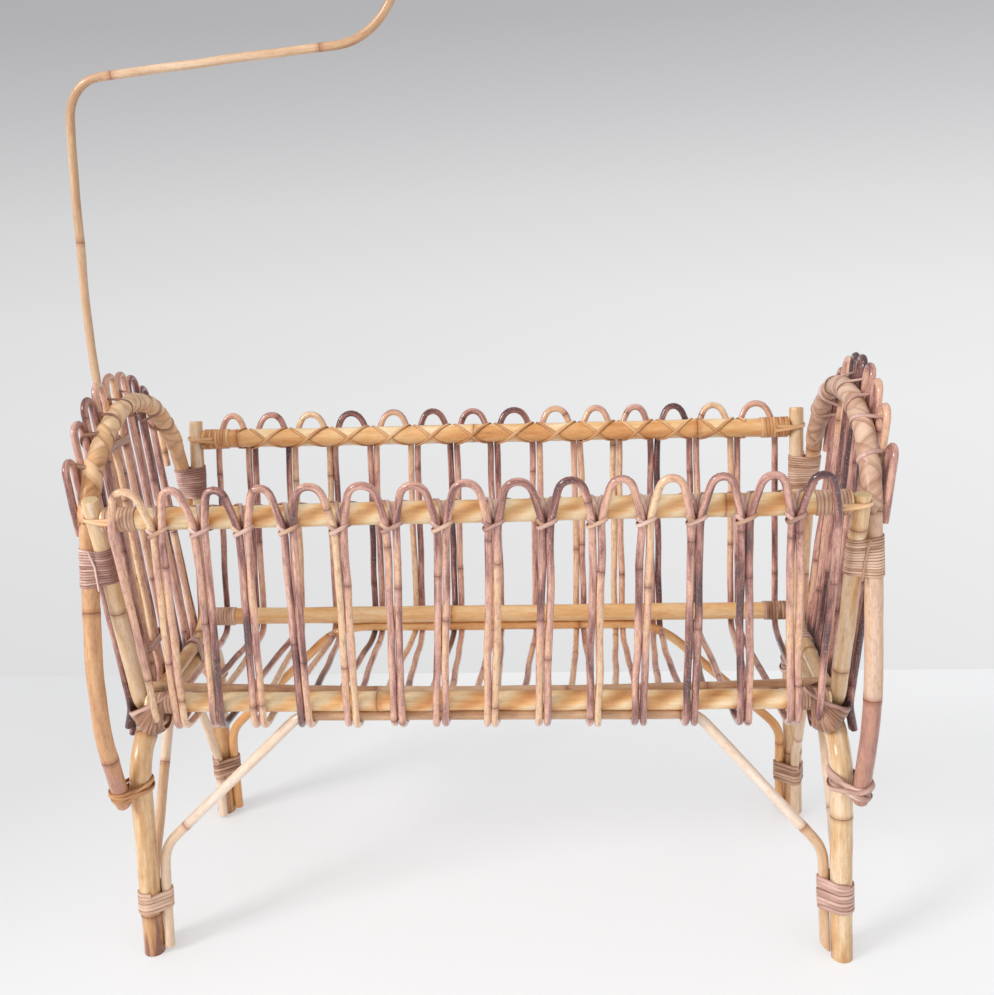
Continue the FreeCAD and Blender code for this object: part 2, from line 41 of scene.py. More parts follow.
# Post hoops: each is one thick peeled cane, steamed and bent into two posts with the crossbar between them.
# The outer skin is scraped off, the tops are sawn flat, and nothing covers them.
ends = (("left", -1), ("right", 1))
half_length = 0.460
post_diameter = 0.021
post_top = 0.673
short_post_top = 0.662
crossbar_height = 0.350
hoop_corner = 0.040
hoop_foot_half_width = 0.137
top_rail_height = 0.645
top_half_width = 0.200
post_lean = (top_half_width - hoop_foot_half_width) / (top_rail_height - crossbar_height)


def post_width(height):
    return hoop_foot_half_width + post_lean * (height - crossbar_height)


def mirrored(half):
    """The corners (y, z) of the front half of a cane, then the same ones mirrored to the rear."""
    return half + [(-y, z) for y, z in reversed(half)]


def linear(hex_colour):
    """A colour written as sRGB hex, in the linear values that Blender's sockets take."""
    parts = [int(hex_colour[n:n + 2], 16) / 255 for n in (1, 3, 5)]
    return [c / 12.92 if c <= 0.04045 else ((c + 0.055) / 1.055) ** 2.4 for c in parts] + [1]


def add(tree, kind, inputs=(), stops=(), **settings):
    """Adds a node with its settings; each input is a number, a colour or the socket that it is linked to."""
    node = tree.nodes.new(kind)
    for name, value in settings.items():
        setattr(node, name, value)
    if stops:
        ramp = node.color_ramp.elements
        ramp.remove(ramp[1])
        ramp[0].position, ramp[0].color = stops[0][0], linear(stops[0][1])
        for position, colour in stops[1:]:
            ramp.new(position).color = linear(colour)
    for socket, value in dict(inputs).items():
        if isinstance(value, bpy.types.NodeSocket):
            tree.links.new(value, node.inputs[socket])
        else:
            node.inputs[socket].default_value = value
    return node


def bare_finish(name):
    """A new material and its empty tree of nodes."""
    finish = bpy.data.materials.new(name)
    finish.use_nodes = True
    finish.node_tree.nodes.clear()
    return finish, finish.node_tree


def fleck_masks(tree, sizes):
    """A mask of uneven flecks in the grain for each row of width, length, detail and roughness."""
    grain = add(tree, "ShaderNodeAttribute", attribute_name="grain").outputs["Vector"]
    masks = []
    for width, length, detail, roughness in sizes:
        scale = (1 / width, 1 / width, 1 / length)
        place = add(tree, "ShaderNodeMapping", {"Vector": grain, "Scale": scale})
        settings = {"Vector": place.outputs[0], "Scale": 1, "Detail": detail, "Roughness": roughness}
        masks.append(add(tree, "ShaderNodeTexNoise", settings).outputs[0])
    return masks


def toned_skin(tree, patches, spread, tones):
    """The tint of each length of a piece, made lighter and darker in patches, as a colour."""
    tint = add(tree, "ShaderNodeAttribute", attribute_name="tint").outputs["Fac"]
    shift = add(
        tree,
        "ShaderNodeMapRange",
        {"Value": patches, "From Min": 0.3, "From Max": 0.7, "To Min": -spread, "To Max": spread},
    )
    tone = add(tree, "ShaderNodeMath", {0: shift.outputs[0], 1: tint}, operation="ADD", use_clamp=True)
    return add(tree, "ShaderNodeValToRGB", {"Fac": tone.outputs[0]}, stops=tones).outputs[0]


def stained(tree, colour, stains):
    """Lays stains over a colour, one after another. A row is a stain's colour and the mask that it follows,
    the values of the mask where it begins and is full, its depth there, how it is laid and how it fades."""
    for stain, mask, begins, full, depth, way, fade in stains:
        share = add(
            tree,
            "ShaderNodeMapRange",
            {"Value": mask, "From Min": begins, "From Max": full, "To Min": 0, "To Max": depth},
            interpolation_type=fade,
        )
        layers = {0: share.outputs[0], 6: colour, 7: linear(stain)}
        colour = add(tree, "ShaderNodeMix", layers, data_type="RGBA", blend_type=way).outputs[2]
    return colour


def varnished(tree, colour, roughness, coat, coat_roughness, relief, relief_depth):
    """Closes a finish: the coloured skin with its relief, under a coat of old varnish."""
    bump = add(tree, "ShaderNodeBump", {"Strength": 0.5, "Distance": relief_depth, "Height": relief})
    surface = add(
        tree,
        "ShaderNodeBsdfPrincipled",
        {
            "Base Color": colour,
            "Roughness": roughness,
            "IOR": 1.47,
            "Coat Weight": coat,
            "Coat Roughness": coat_roughness,
            "Normal": bump.outputs[0],
        },
    )
    add(tree, "ShaderNodeOutputMaterial", {0: surface.outputs[0]})


def cane_finish(name, tones, patch, ring, stain, blotch, streak, speckle, wear_and_glints, roughness, coat):
    """Rattan skin: long patches of tone, lengthwise fibres, fine pores and a dark scar at each joint."""
    finish, tree = bare_finish(name)
    joint = add(tree, "ShaderNodeAttribute", attribute_name="joint").outputs["Fac"]
    patches, blotches, fibres, pores = fleck_masks(
        tree,
        (
            # Patches of tone 12 mm wide and 90 mm long, laid over the tone of each length between joints
            (0.012, 0.09, 3, 0.6),
            # Handling and old varnish leave blotches about 4 mm wide and 12 mm long
            (0.004, 0.012, 4, 0.65),
            # Fibres are 0.3 mm wide on the real cane; they are drawn 1.1 mm wide here, so that they show
            (0.0011, 0.055, 2, 0.5),
            # Pores and dried sap: dark flecks about 1.5 mm across and 2.6 mm long
            (0.0015, 0.0026, 2, 0.5),
        ),
    )
    ragged = add(tree, "ShaderNodeMath", {0: patches, 1: 0.006, 2: joint}, operation="MULTIPLY_ADD")
    colour = stained(
        tree,
        toned_skin(tree, patches, patch, tones),
        (
            (stain, blotches, 0.48, 0.68, blotch, "MULTIPLY", "LINEAR"),
            (stain, fibres, 0.42, 0.7, streak, "MULTIPLY", "LINEAR"),
            (ring, pores, 0.6, 0.74, speckle, "MIX", "LINEAR"),
            # Between the pores the skin is worn to pale dots of the same size; the dots are also painted
            # glints, standing for highlights off the pitted skin
            ("#F6E2D4", pores, 0.4, 0.26, wear_and_glints, "MIX", "LINEAR"),
            # Joints: a ragged stain about 10 mm long, and in it a dark scar 2 mm wide
            (stain, ragged.outputs[0], 0.012, 0.003, 0.5, "MULTIPLY", "SMOOTHSTEP"),
            (ring, joint, 0.0017, 0.0004, 0.55, "MIX", "SMOOTHSTEP"),
        ),
    )
    relief = add(tree, "ShaderNodeMath", {0: pores, 1: 0.8, 2: fibres}, operation="MULTIPLY_ADD")
    dull = add(
        tree,
        "ShaderNodeMapRange",
        {"Value": pores, "To Min": roughness - 0.12, "To Max": roughness + 0.16},
    )
    varnished(tree, colour, dull.outputs[0], coat, 0.12, relief.outputs[0], 0.0004)
    return finish


# Peeled honey cane: scraped, sanded and varnished long ago, so it is golden with paler and browner lengths
honey_cane = cane_finish(
    "peeled_honey_cane",
    tones=((0, "#F2DDC2"), (0.3, "#E7C598"), (0.6, "#D5A56E"), (0.82, "#B67F55"), (1, "#86543C")),
    patch=0.3,
    ring="#5E3426",
    stain="#BC8250",
    blotch=0.26,
    streak=0.18,
    speckle=0.1,
    wear_and_glints=0.1,
    roughness=0.34,
    coat=0.6,
)

# Sawn end of a cane: dull pale pith; its open vessels are drawn coarse, 1.1 mm apart, so that they show
cut_end, tree = bare_finish("sawn_cane_end")
grain = add(tree, "ShaderNodeAttribute", attribute_name="grain").outputs["Vector"]
vessel_place = add(tree, "ShaderNodeMapping", {"Vector": grain, "Scale": (1 / 0.0011, 1 / 0.0011, 1)})
vessels = add(tree, "ShaderNodeTexVoronoi", {"Vector": vessel_place.outputs[0], "Scale": 1})
pith_stops = ((0.1, "#6E4A34"), (0.42, "#D9BC8E"))
pith = add(tree, "ShaderNodeValToRGB", {"Fac": vessels.outputs["Distance"]}, stops=pith_stops)
pith_look = {"Base Color": pith.outputs[0], "Roughness": 0.75, "IOR": 1.45}
surface = add(tree, "ShaderNodeBsdfPrincipled", pith_look)
add(tree, "ShaderNodeOutputMaterial", {0: surface.outputs[0]})


def bent_line(corners, bends):
    """Centre line of a cane bent round formers: straight runs joined by arcs."""
    arc_step = 0.003
    corners = [Vector(corner) for corner in corners]
    line = [corners[0]]
    for before, corner, after, bend in zip(corners, corners[1:], corners[2:], bends):
        into = (corner - before).normalized()
        out = (after - corner).normalized()
        half_turn = into.angle(out) / 2
        if half_turn < 0.001:
            continue
        first = corner - into * (bend * tan(half_turn))
        centre = corner + (out - into).normalized() * (bend / cos(half_turn))
        axis = into.cross(out).normalized()
        steps = max(4, ceil(2 * half_turn * bend / arc_step))
        for n in range(steps + 1):
            line.append(centre + Quaternion(axis, 2 * half_turn * n / steps) @ (first - centre))
    line.append(corners[-1])
    return line


def walk(places):
    """How far along a line each of its places lies."""
    return np.concatenate([[0], np.cumsum(np.linalg.norm(np.diff(places, axis=0), axis=1))])


def along_line(distances, walked, places):
    """The places at the given distances along a line that has been walked."""
    return np.stack([np.interp(distances, walked, places[:, k]) for k in range(3)], axis=-1)


def mark(mesh, **marks):
    """Writes the values that the finishes read, a number or a vector for each vertex."""
    for label, values in marks.items():
        vectors = values.ndim > 1
        attribute = mesh.attributes.new(label, "FLOAT_VECTOR" if vectors else "FLOAT", "POINT")
        attribute.data.foreach_set("vector" if vectors else "value", values.astype(np.float32).ravel())


def smoothed(piece, sharp, weld=False):
    """Turns the faces of a new piece outward and smooths them, except over edges sharper than the angle."""
    bpy.context.view_layer.objects.active = piece
    piece.select_set(True)
    bpy.ops.object.mode_set(mode="EDIT")
    bpy.ops.mesh.select_all(action="SELECT")
    if weld:
        bpy.ops.mesh.remove_doubles(threshold=0.000001)
    bpy.ops.mesh.normals_make_consistent(inside=False)
    bpy.ops.object.mode_set(mode="OBJECT")
    bpy.ops.object.shade_smooth_by_angle(angle=radians(sharp))
    bpy.ops.object.select_all(action="DESELECT")


laid = {}
cane_edge = 40


def cane(
    name, line, diameter, finish, seed, internode, tone,
    sides=16, wobble=0.0008, ease=0.006, joints=None, lengths=(), blend=0.0008,
):
    """A length of rattan: a little swollen at each joint, never quite straight or round, its ends chamfered.
    tone is the middle and spread of the tint of the lengths between joints, unless lengths gives it.
    blend is the distance over which one length's tint passes into the next."""
    pick = np.random.default_rng(seed)
    line = np.array([list(point) for point in line])
    walked = walk(line)
    length = walked[-1]
    step = 0.002
    even = np.linspace(0, length, max(12, int(length / step)))
    middle = along_line(even, walked, line)

    # A cane springs back a little, so its bends run out gently into the straight lengths
    reach = min(int(3 * ease / step), len(even) - 2)
    weights = np.exp(-0.5 * (np.arange(-reach, reach + 1) * step / ease) ** 2)
    weights /= weights.sum()
    head = 2 * middle[0] - middle[1:reach + 1][::-1]
    tail = 2 * middle[-1] - middle[-reach - 1:-1][::-1]
    padded = np.concatenate([head, middle, tail])
    middle = np.stack([np.convolve(padded[:, k], weights, "valid") for k in range(3)], axis=1)
    waves = (0.31, 0.17, 0.09)
    for wave in waves:
        way = pick.normal(size=3)
        phase = pick.uniform(0, 2 * pi)
        swing = wobble * (wave / waves[0]) ** 0.5 / 1.7
        middle = middle + np.outer(np.sin(2 * pi * even / wave + phase), way / np.linalg.norm(way)) * swing

    if joints is None:
        joints = []
        place = internode * pick.uniform(0.15, 0.95)
        while place < length - 0.012:
            joints.append(place)
            place += internode * pick.uniform(0.75, 1.2)
    joints = np.array(joints if len(joints) else [-1.0])
    near_joint = np.array([-8, -5, -3, -1.6, -0.8, 0, 0.8, 1.6, 3, 5, 8]) * 0.001
    chamfer = np.array([0, 0.0006, 0.0018])
    stations = np.concatenate(
        [np.arange(0, length, 0.0055), (joints[:, None] + near_joint).ravel(), chamfer, length - chamfer]
    )
    stations = np.unique(np.round(stations[(stations >= 0) & (stations <= length)], 5))
    stations = stations[np.concatenate([[True], np.diff(stations) > 0.0004])]
    places = along_line(stations, even, middle)

    from_joint = np.abs(stations[:, None] - joints[None]).min(axis=1)
    swell = 0.05 * np.exp(-((from_joint / 0.006) ** 2)) - 0.05 * np.exp(-((from_joint / 0.001) ** 2))
    uneven = sum(
        0.008 * np.sin(2 * pi * stations / wave + pick.uniform(0, 2 * pi)) for wave in (0.4, 0.13, 0.05)
    )
    taper = np.interp(np.minimum(stations, length - stations), chamfer, [0.86, 0.96, 1])
    radii = diameter / 2 * (1 + swell + uneven) * taper

    tones = np.clip(pick.normal(tone[0], tone[1], size=len(joints) + 1), 0, 1)
    tones[:len(lengths)] = lengths
    past_joint = 0.5 + 0.5 * np.tanh((stations[:, None] - joints[None]) / blend)
    tint = tones[0] + past_joint @ np.diff(tones)
    offset = pick.uniform(0, 40)

    bpy.ops.curve.primitive_nurbs_path_add()
    piece = bpy.context.object
    piece.location = (0, 0, 0)
    curve = piece.data
    curve.splines.clear()
    spline = curve.splines.new("POLY")
    spline.points.add(len(stations) - 1)
    spline.points.foreach_set("co", np.column_stack([places, np.ones(len(places))]).ravel())
    spline.points.foreach_set("radius", radii)
    curve.bevel_depth = 1
    curve.bevel_resolution = (sides - 4) // 2
    curve.use_fill_caps = True
    bpy.ops.object.convert(target="MESH")
    piece = bpy.context.object
    piece.name = name
    mesh = piece.data
    mesh.name = name
    # The rings of the two caps come first, the far end before the near one
    ring = np.concatenate([[-1, 0], np.arange(len(stations))])
    angle = np.tile(np.arange(sides) * 2 * pi / sides, len(ring))
    around = np.repeat(radii[ring], sides)
    along = np.repeat(stations[ring], sides) + offset
    mark(
        mesh,
        grain=np.column_stack([around * np.cos(angle), around * np.sin(angle), along]),
        joint=np.repeat(from_joint[ring], sides),
        tint=np.repeat(tint[ring], sides),
    )
    mesh.materials.append(finish)
    mesh.materials.append(cut_end)
    for face in mesh.polygons:
        face.material_index = 0 if len(face.vertices) == 4 else 1
    smoothed(piece, cane_edge, weld=True)
    laid[name] = (places, radii)
    return piece


def saw(piece, place, way, reach=0.06):
    """Cuts off what lies beyond place in the direction way, and leaves a sawn end."""
    bpy.context.view_layer.objects.active = piece
    piece.select_set(True)
    bpy.ops.object.mode_set(mode="EDIT")
    bpy.ops.mesh.select_all(action="DESELECT")
    bpy.ops.object.mode_set(mode="OBJECT")
    for vertex in piece.data.vertices:
        vertex.select = (vertex.co - Vector(place)).length < reach
    bpy.ops.object.mode_set(mode="EDIT")
    bpy.ops.mesh.bisect(plane_co=place, plane_no=way, use_fill=True, clear_outer=True)
    bpy.ops.object.mode_set(mode="OBJECT")
    way = Vector(way).normalized()
    for face in piece.data.polygons:
        if face.normal.dot(way) > 0.999 and abs((face.center - Vector(place)).dot(way)) < 0.0001:
            face.material_index = 1
    bpy.ops.object.shade_smooth_by_angle(angle=radians(cane_edge))
    bpy.ops.object.select_all(action="DESELECT")


def fit(piece, body, slot, *nodes):
    """The piece moves with a body of the frame and stands for its nodes."""
    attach(piece, body)
    if nodes:
        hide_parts(*nodes)


for seed, (end, side) in enumerate(ends, start=11):
    across = mirrored([(-post_width(post_top), post_top), (-hoop_foot_half_width, crossbar_height)])
    piece = cane(
        f"{end}_post_hoop_cane",
        bent_line([(side * half_length, y, z) for y, z in across], [hoop_corner] * 2),
        post_diameter,
        honey_cane,
        seed,
        internode=0.24,
        tone=(0.4 if side < 0 else 0.3, 0.1),
        sides=20,
    )
    if side > 0:
        saw(piece, (half_length, -post_width(short_post_top), short_post_top), (0, 0, 1))
    fit(piece, "cradle", "peeled_cane", f"{end}_post_hoop")

# Rails: four straight peeled canes, stout and the palest in the cradle, nailed between the posts.
# They are golden where the light has not bleached them, and the bark scars are scraped almost flat.
long_sides = (("front", -1), ("rear", 1))
gap = 0.0003
post_radius = post_diameter / 2
rail_end = half_length - post_radius - gap
top_rail_radius = 0.014
bottom_rail_radius = 0.013
bottom_rail_height = 0.370
bottom_half_width = 0.146
rail_sizes = {
    "top": (top_rail_radius, top_rail_height, top_half_width),
    "bottom": (bottom_rail_radius, bottom_rail_height, bottom_half_width),
}
front_rail_climb = 0.007
shadow_stripe_pitch = 0.06

# Golden rail cane: the same peeled cane, sanded smoother and varnished, with long yellow streaks
rail_cane = cane_finish(
    "golden_rail_cane",
    tones=((0, "#F8DFB4"), (0.35, "#EFBF82"), (0.65, "#DD9E5E"), (1, "#B06F3C")),
    patch=0.22,
    ring="#7A4A26",
    stain="#CC925A",
    blotch=0.2,
    streak=0.16,
    speckle=0.08,
    wear_and_glints=0.08,
    roughness=0.34,
    coat=0.5,
)


def rail_climb(face, x, level="top"):
    """The front top rail climbs a little from left to right."""
    return front_rail_climb * (x / rail_end + 1) / 2 if (face, level) == ("front", "top") else 0


def retint(piece, change):
    """Adds to the tint of a piece a number, or what a function of x, y and z gives for its places."""
    mesh = piece.data
    tint = np.empty(len(mesh.vertices), np.float32)
    mesh.attributes["tint"].data.foreach_get("value", tint)
    if callable(change):
        places = np.empty(len(tint) * 3, np.float32)
        mesh.vertices.foreach_get("co", places)
        change = change(*places.reshape(-1, 3).T).astype(np.float32)
    tint += change
    mesh.attributes["tint"].data.foreach_set("value", tint)


for face, sign in long_sides:
    for level, (radius, height, half_width) in rail_sizes.items():
        run = [(x, sign * half_width, height + rail_climb(face, x, level)) for x in (-rail_end, rail_end)]
        piece = cane(
            f"{face}_{level}_rail_cane",
            run,
            2 * radius,
            rail_cane,
            seed=21 + 2 * (sign > 0) + (level == "top"),
            internode=0.33,
            tone=(0.5 if (face, level) == ("rear", "top") else 0.32, 0.08),
            sides=24,
        )
        if face == "front":
            # Painted shadow and sheen: slanting pale and golden stripes, as the shade that the loops cast
            # across the rail
            retint(
                piece,
                lambda x, y, z: -0.3 * np.sin((x - 1.6 * (z - height)) * 2 * pi / shadow_stripe_pitch) - 0.06,
            )
        fit(piece, "cradle", "peeled_cane", f"{face}_{level}_rail")

# Leg hoops: two stout legs and the bar between them, one peeled cane bent twice under the crossbar.
# The legs are sawn level below, and the feet are scuffed and brown from the floor.
leg_diameter = 0.029
leg_radius = leg_diameter / 2
leg_top = crossbar_height - post_radius - gap - leg_radius
leg_corner = 0.060
leg_foot_half_width = 0.178
leg_top_half_width = 0.170
leg_splay = 0.015
saw_waste = 0.012
sole_height = 0.0002
scuffed_height = 0.045
leg_joints = {"left": [0.076, 0.34, 0.56, 0.78], "right": [0.229, 0.45, 0.66, 0.84]}
leg_tints = {"left": [0.68, 0.46, 0.36, 0.45, 0.5], "right": [0.32, 0.24, 0.42, 0.45, 0.45]}


def leg_length(height):
    return half_length + leg_splay * (1 - height / leg_top)


def leg_width(height):
    return leg_foot_half_width + (leg_top_half_width - leg_foot_half_width) * height / leg_top


for seed, (end, side) in enumerate(ends, start=31):
    across = mirrored([(-leg_width(-saw_waste), -saw_waste), (-leg_width(leg_top), leg_top)])
    piece = cane(
        f"{end}_leg_hoop_cane",
        bent_line([(side * leg_length(z), y, z) for y, z in across], [leg_corner] * 2),
        leg_diameter,
        honey_cane,
        seed,
        internode=0.21,
        tone=(0.38, 0.14),
        sides=24,
        joints=leg_joints[end],
        lengths=leg_tints[end],
    )
    saw(piece, (0, 0, sole_height), (0, 0, -1), reach=0.6)
    retint(piece, lambda x, y, z: 0.3 * np.clip(1 - z / scuffed_height, 0, 1))
    fit(piece, "cradle", "peeled_cane", f"{end}_leg_hoop")

# Arches: one cane over each end, crossing outside the posts and bowing out to the knees of the legs.
# Its skin is left on here and there, so lengths of it are pinkish brown, and its ends are sawn aslant.
arch_diameter = 0.022
arch_radius = arch_diameter / 2
arch_x = half_length + post_radius + gap + arch_radius
arch_height = 0.745
lashing_height = 0.580
bow_corner = 0.400
bow_end = 0.245
bow_bend = 0.400
bow_lean = 0.26
bow_joints = {
    "left": [0.085, 0.29, 0.5, 0.72, 0.94, 1.15, 1.36],
    "right": [0.172, 0.4, 0.62, 0.85, 1.07, 1.3],
}
bow_tints = {
    "left": [0.62, 0.46, 0.42, 0.35, 0.3, 0.4, 0.5],
    "right": [0.78, 0.06, 0.2, 0.4, 0.3, 0.5, 0.7],
}


def arch_leg_width(height):
    return post_width(lashing_height) + bow_lean * (lashing_height - height)


arch_bend = arch_leg_width(arch_height) / tan((pi / 2 - atan(bow_lean)) / 2)
arch_centre = arch_height - arch_bend
knee_reach = leg_radius + gap + arch_radius
bow_end_width = leg_width(bow_end) + sqrt(knee_reach**2 - (arch_x - leg_length(bow_end)) ** 2)

# Bow cane: peeled by hand, so honey lengths change at the joints to lengths that keep a pinkish bark
bow_cane = cane_finish(
    "hand_peeled_bow_cane",
    tones=((0, "#DFBFA8"), (0.3, "#E3B483"), (0.55, "#CC976C"), (0.75, "#C08C7A"), (1, "#93645A")),
    patch=0.16,
    ring="#5E3426",
    stain="#B47850",
    blotch=0.35,
    streak=0.2,
    speckle=0.16,
    wear_and_glints=0.16,
    roughness=0.38,
    coat=0.35,
)
for seed, (end, side) in enumerate(ends, start=41):
    across = mirrored(
        [
            (-bow_end_width, bow_end - 0.006),
            (-arch_leg_width(bow_corner), bow_corner),
            (-arch_leg_width(arch_height), arch_height),
        ]
    )
    piece = cane(
        f"{end}_arch_cane",
        bent_line([(side * arch_x, y, z) for y, z in across], [bow_bend, arch_bend, arch_bend, bow_bend]),
        arch_diameter,
        bow_cane,
        seed,
        internode=0.2,
        tone=(0.35 if side < 0 else 0.5, 0.25),
        sides=20,
        wobble=0.0012,
        joints=bow_joints[end],
        lengths=bow_tints[end],
    )
    for face, sign in long_sides:
        cut = bow_end + (0.012 if (end, face) == ("right", "front") else 0.004)
        saw(piece, (side * arch_x, sign * bow_end_width, cut), (0, -sign * 0.75, -1))
    fit(piece, "cradle", "peeled_cane", f"{end}_arch")

# End braces: a thin cane inside each leg hoop that runs up from one foot to the bar and down to the other.
# It is unpeeled straw-coloured cane with pinkish joints, lashed to the legs at both feet.
brace_diameter = 0.014
brace_radius = brace_diameter / 2
brace_step = leg_radius + gap + brace_radius
end_brace_foot = 0.004
end_brace_knee = 0.115
end_brace_bend = 0.045
end_brace_top = leg_top - leg_radius - gap - brace_radius
end_brace_top_half_width = 0.045

# Straw cane: thin cane with its skin on, pale and silky, with pinkish scars
straw_cane = cane_finish(
    "straw_coloured_cane",
    tones=((0, "#F6E4D2"), (0.4, "#E9CCAC"), (0.75, "#D6AF88"), (1, "#B88864")),
    patch=0.2,
    ring="#8A5546",
    stain="#C98F74",
    blotch=0.24,
    streak=0.14,
    speckle=0.08,
    wear_and_glints=0.06,
    roughness=0.34,
    coat=0.45,
)
for seed, (end, side) in enumerate(ends, start=51):
    across = [(-(leg_width(z) - brace_step), z) for z in (end_brace_foot, end_brace_knee)]
    across = mirrored(across + [(-end_brace_top_half_width, end_brace_top)])
    piece = cane(
        f"{end}_end_brace_cane",
        bent_line([(side * leg_length(z), y, z) for y, z in across], [end_brace_bend] * 4),
        brace_diameter,
        straw_cane,
        seed,
        internode=0.19,
        tone=(0.5, 0.15),
    )
    fit(piece, "cradle", "brace_cane", f"{end}_end_brace")

# Long braces: a thin cane along each side, from foot to foot under the bottom rail.
# It comes down between two loops at each end and is lashed to the leg; the front one is the paler cane.
brace_height = bottom_rail_height - bottom_rail_radius - gap - brace_radius
brace_tilt = (leg_foot_half_width - bottom_half_width) / brace_height
brace_foot = 0.008
brace_cut = 0.016
brace_knee = 0.160
brace_knee_bend = 0.055
brace_joints = [0.197, 0.44, 0.68, 0.93, 1.16]
brace_tints = [0.36, 0.14, 0.85, 0.8, 0.14, 0.66]
loop_diameter = 0.0096
loop_radius = loop_diameter / 2
tail_height = brace_height - brace_radius - gap - loop_radius


def brace_length(height):
    return leg_length(height) - brace_step


def brace_width(height):
    return bottom_half_width + brace_tilt * (brace_height - height)


for seed, (face, sign, crossings, top_bend, finish, joints, tints) in enumerate(
    (
        ("front", -1, (0.257, 0.290), 0.030, straw_cane, brace_joints, brace_tints),
        ("rear", 1, (0.262, 0.262), 0.110, rail_cane, None, ()),
    ),
    start=61,
):
    run = []
    for side, crossing in zip((-1, 1), crossings):
        slope = (brace_length(brace_knee) - crossing) / (tail_height - brace_knee)
        half_run = [
            (side * brace_length(brace_foot), brace_foot),
            (side * brace_length(brace_knee), brace_knee),
            (side * (crossing - slope * (brace_height - tail_height)), brace_height),
        ]
        run += half_run[::-side]
    piece = cane(
        f"{face}_long_brace_cane",
        bent_line(
            [(x, sign * brace_width(z), z) for x, z in run],
            [brace_knee_bend, top_bend, top_bend, brace_knee_bend],
        ),
        brace_diameter,
        finish,
        seed,
        internode=0.2,
        tone=(0.5, 0.1),
        joints=joints,
        lengths=tints,
    )
    if face == "front":
        saw(piece, (brace_length(brace_cut), -brace_width(brace_cut), brace_cut), (-0.9, 0, -1))
    fit(piece, "cradle", "brace_cane", f"{face}_long_brace")

# Side loops: thin canes bent into hairpins, tied outside the top rails and hooked under the bottom rails.
# Their tails run across as the floor: the front ones lie flat, and the rear ones climb over them.
tie_gauge = 0.002
top_offset = top_rail_radius + gap + tie_gauge + gap + loop_radius
bottom_offset = bottom_rail_radius + gap + tie_gauge + gap + loop_radius
rail_step = top_half_width - bottom_half_width
rail_rise = top_rail_height - bottom_rail_height
loop_lean = atan2(rail_step, rail_rise) + asin((top_offset - bottom_offset) / hypot(rail_step, rail_rise))
tie_height = top_rail_height - 0.010
front_loop_centres = [-403, -350, -296, -245, -186, -122, -61, 0, 61, 125, 180, 238, 297, 351, 411]
rear_loop_centres = [-410, -347, -283, -219, -154, -90, -30, 35, 100, 163, 219, 278, 339, 401]
front_foot_places = [-402, -351, -296, -234, -171, -110, -54, 12, 80, 146, 204, 270, 339, 402]
outer_leg = 0.4318
pair_half = 0.00525
front_tail_end = -0.062
rear_tail_end = -0.122
tail_bend_share = 0.39


def loop_width(height):
    foot_height = bottom_rail_height - bottom_offset * sin(loop_lean)
    return bottom_half_width + bottom_offset * cos(loop_lean) + (height - foot_height) * tan(loop_lean)


hook_width = loop_width(tail_height)
climb_width = hook_width - 0.050
tail_climb = (loop_diameter + 2 * gap) / (climb_width + 0.010)


def rear_tail_height(width):
    return tail_height + tail_climb * (climb_width - width)


# Bark-on loop cane: thin cane with its skin left on, honey to mauve to near black, glossy and finely pitted
loop_cane = cane_finish(
    "bark_on_loop_cane",
    tones=(
        (0, "#F5D2A8"),
        (0.2, "#EFC098"),
        (0.42, "#E5B29E"),
        (0.62, "#C28E81"),
        (0.82, "#915A52"),
        (1, "#5A3A3D"),
    ),
    patch=0.42,
    ring="#4A2A28",
    stain="#A66C52",
    blotch=0.5,
    streak=0.3,
    speckle=0.45,
    wear_and_glints=0.5,
    roughness=0.3,
    coat=1,
)
loop_blend = 0.03
front_tones = [0.36, 0.3, 0.66, 0.5, 0.26, 0.42, 0.6, 0.46, 0.3, 0.44, 0.34, 0.52, 0.68, 0.4, 0.5]
rear_tones = [0.62, 0.5, 0.22, 0.86, 0.44, 0.64, 0.34, 0.56, 0.36, 0.42, 0.34, 0.66, 0.46, 0.54]
pairs = {}


def loop_legs(places, number):
    """Where the two legs of a loop stand, each beside the nearest leg of the next loop."""
    first = places[number - 1] + pair_half if number else -outer_leg
    return first, places[number] - pair_half if number < len(places) else outer_leg


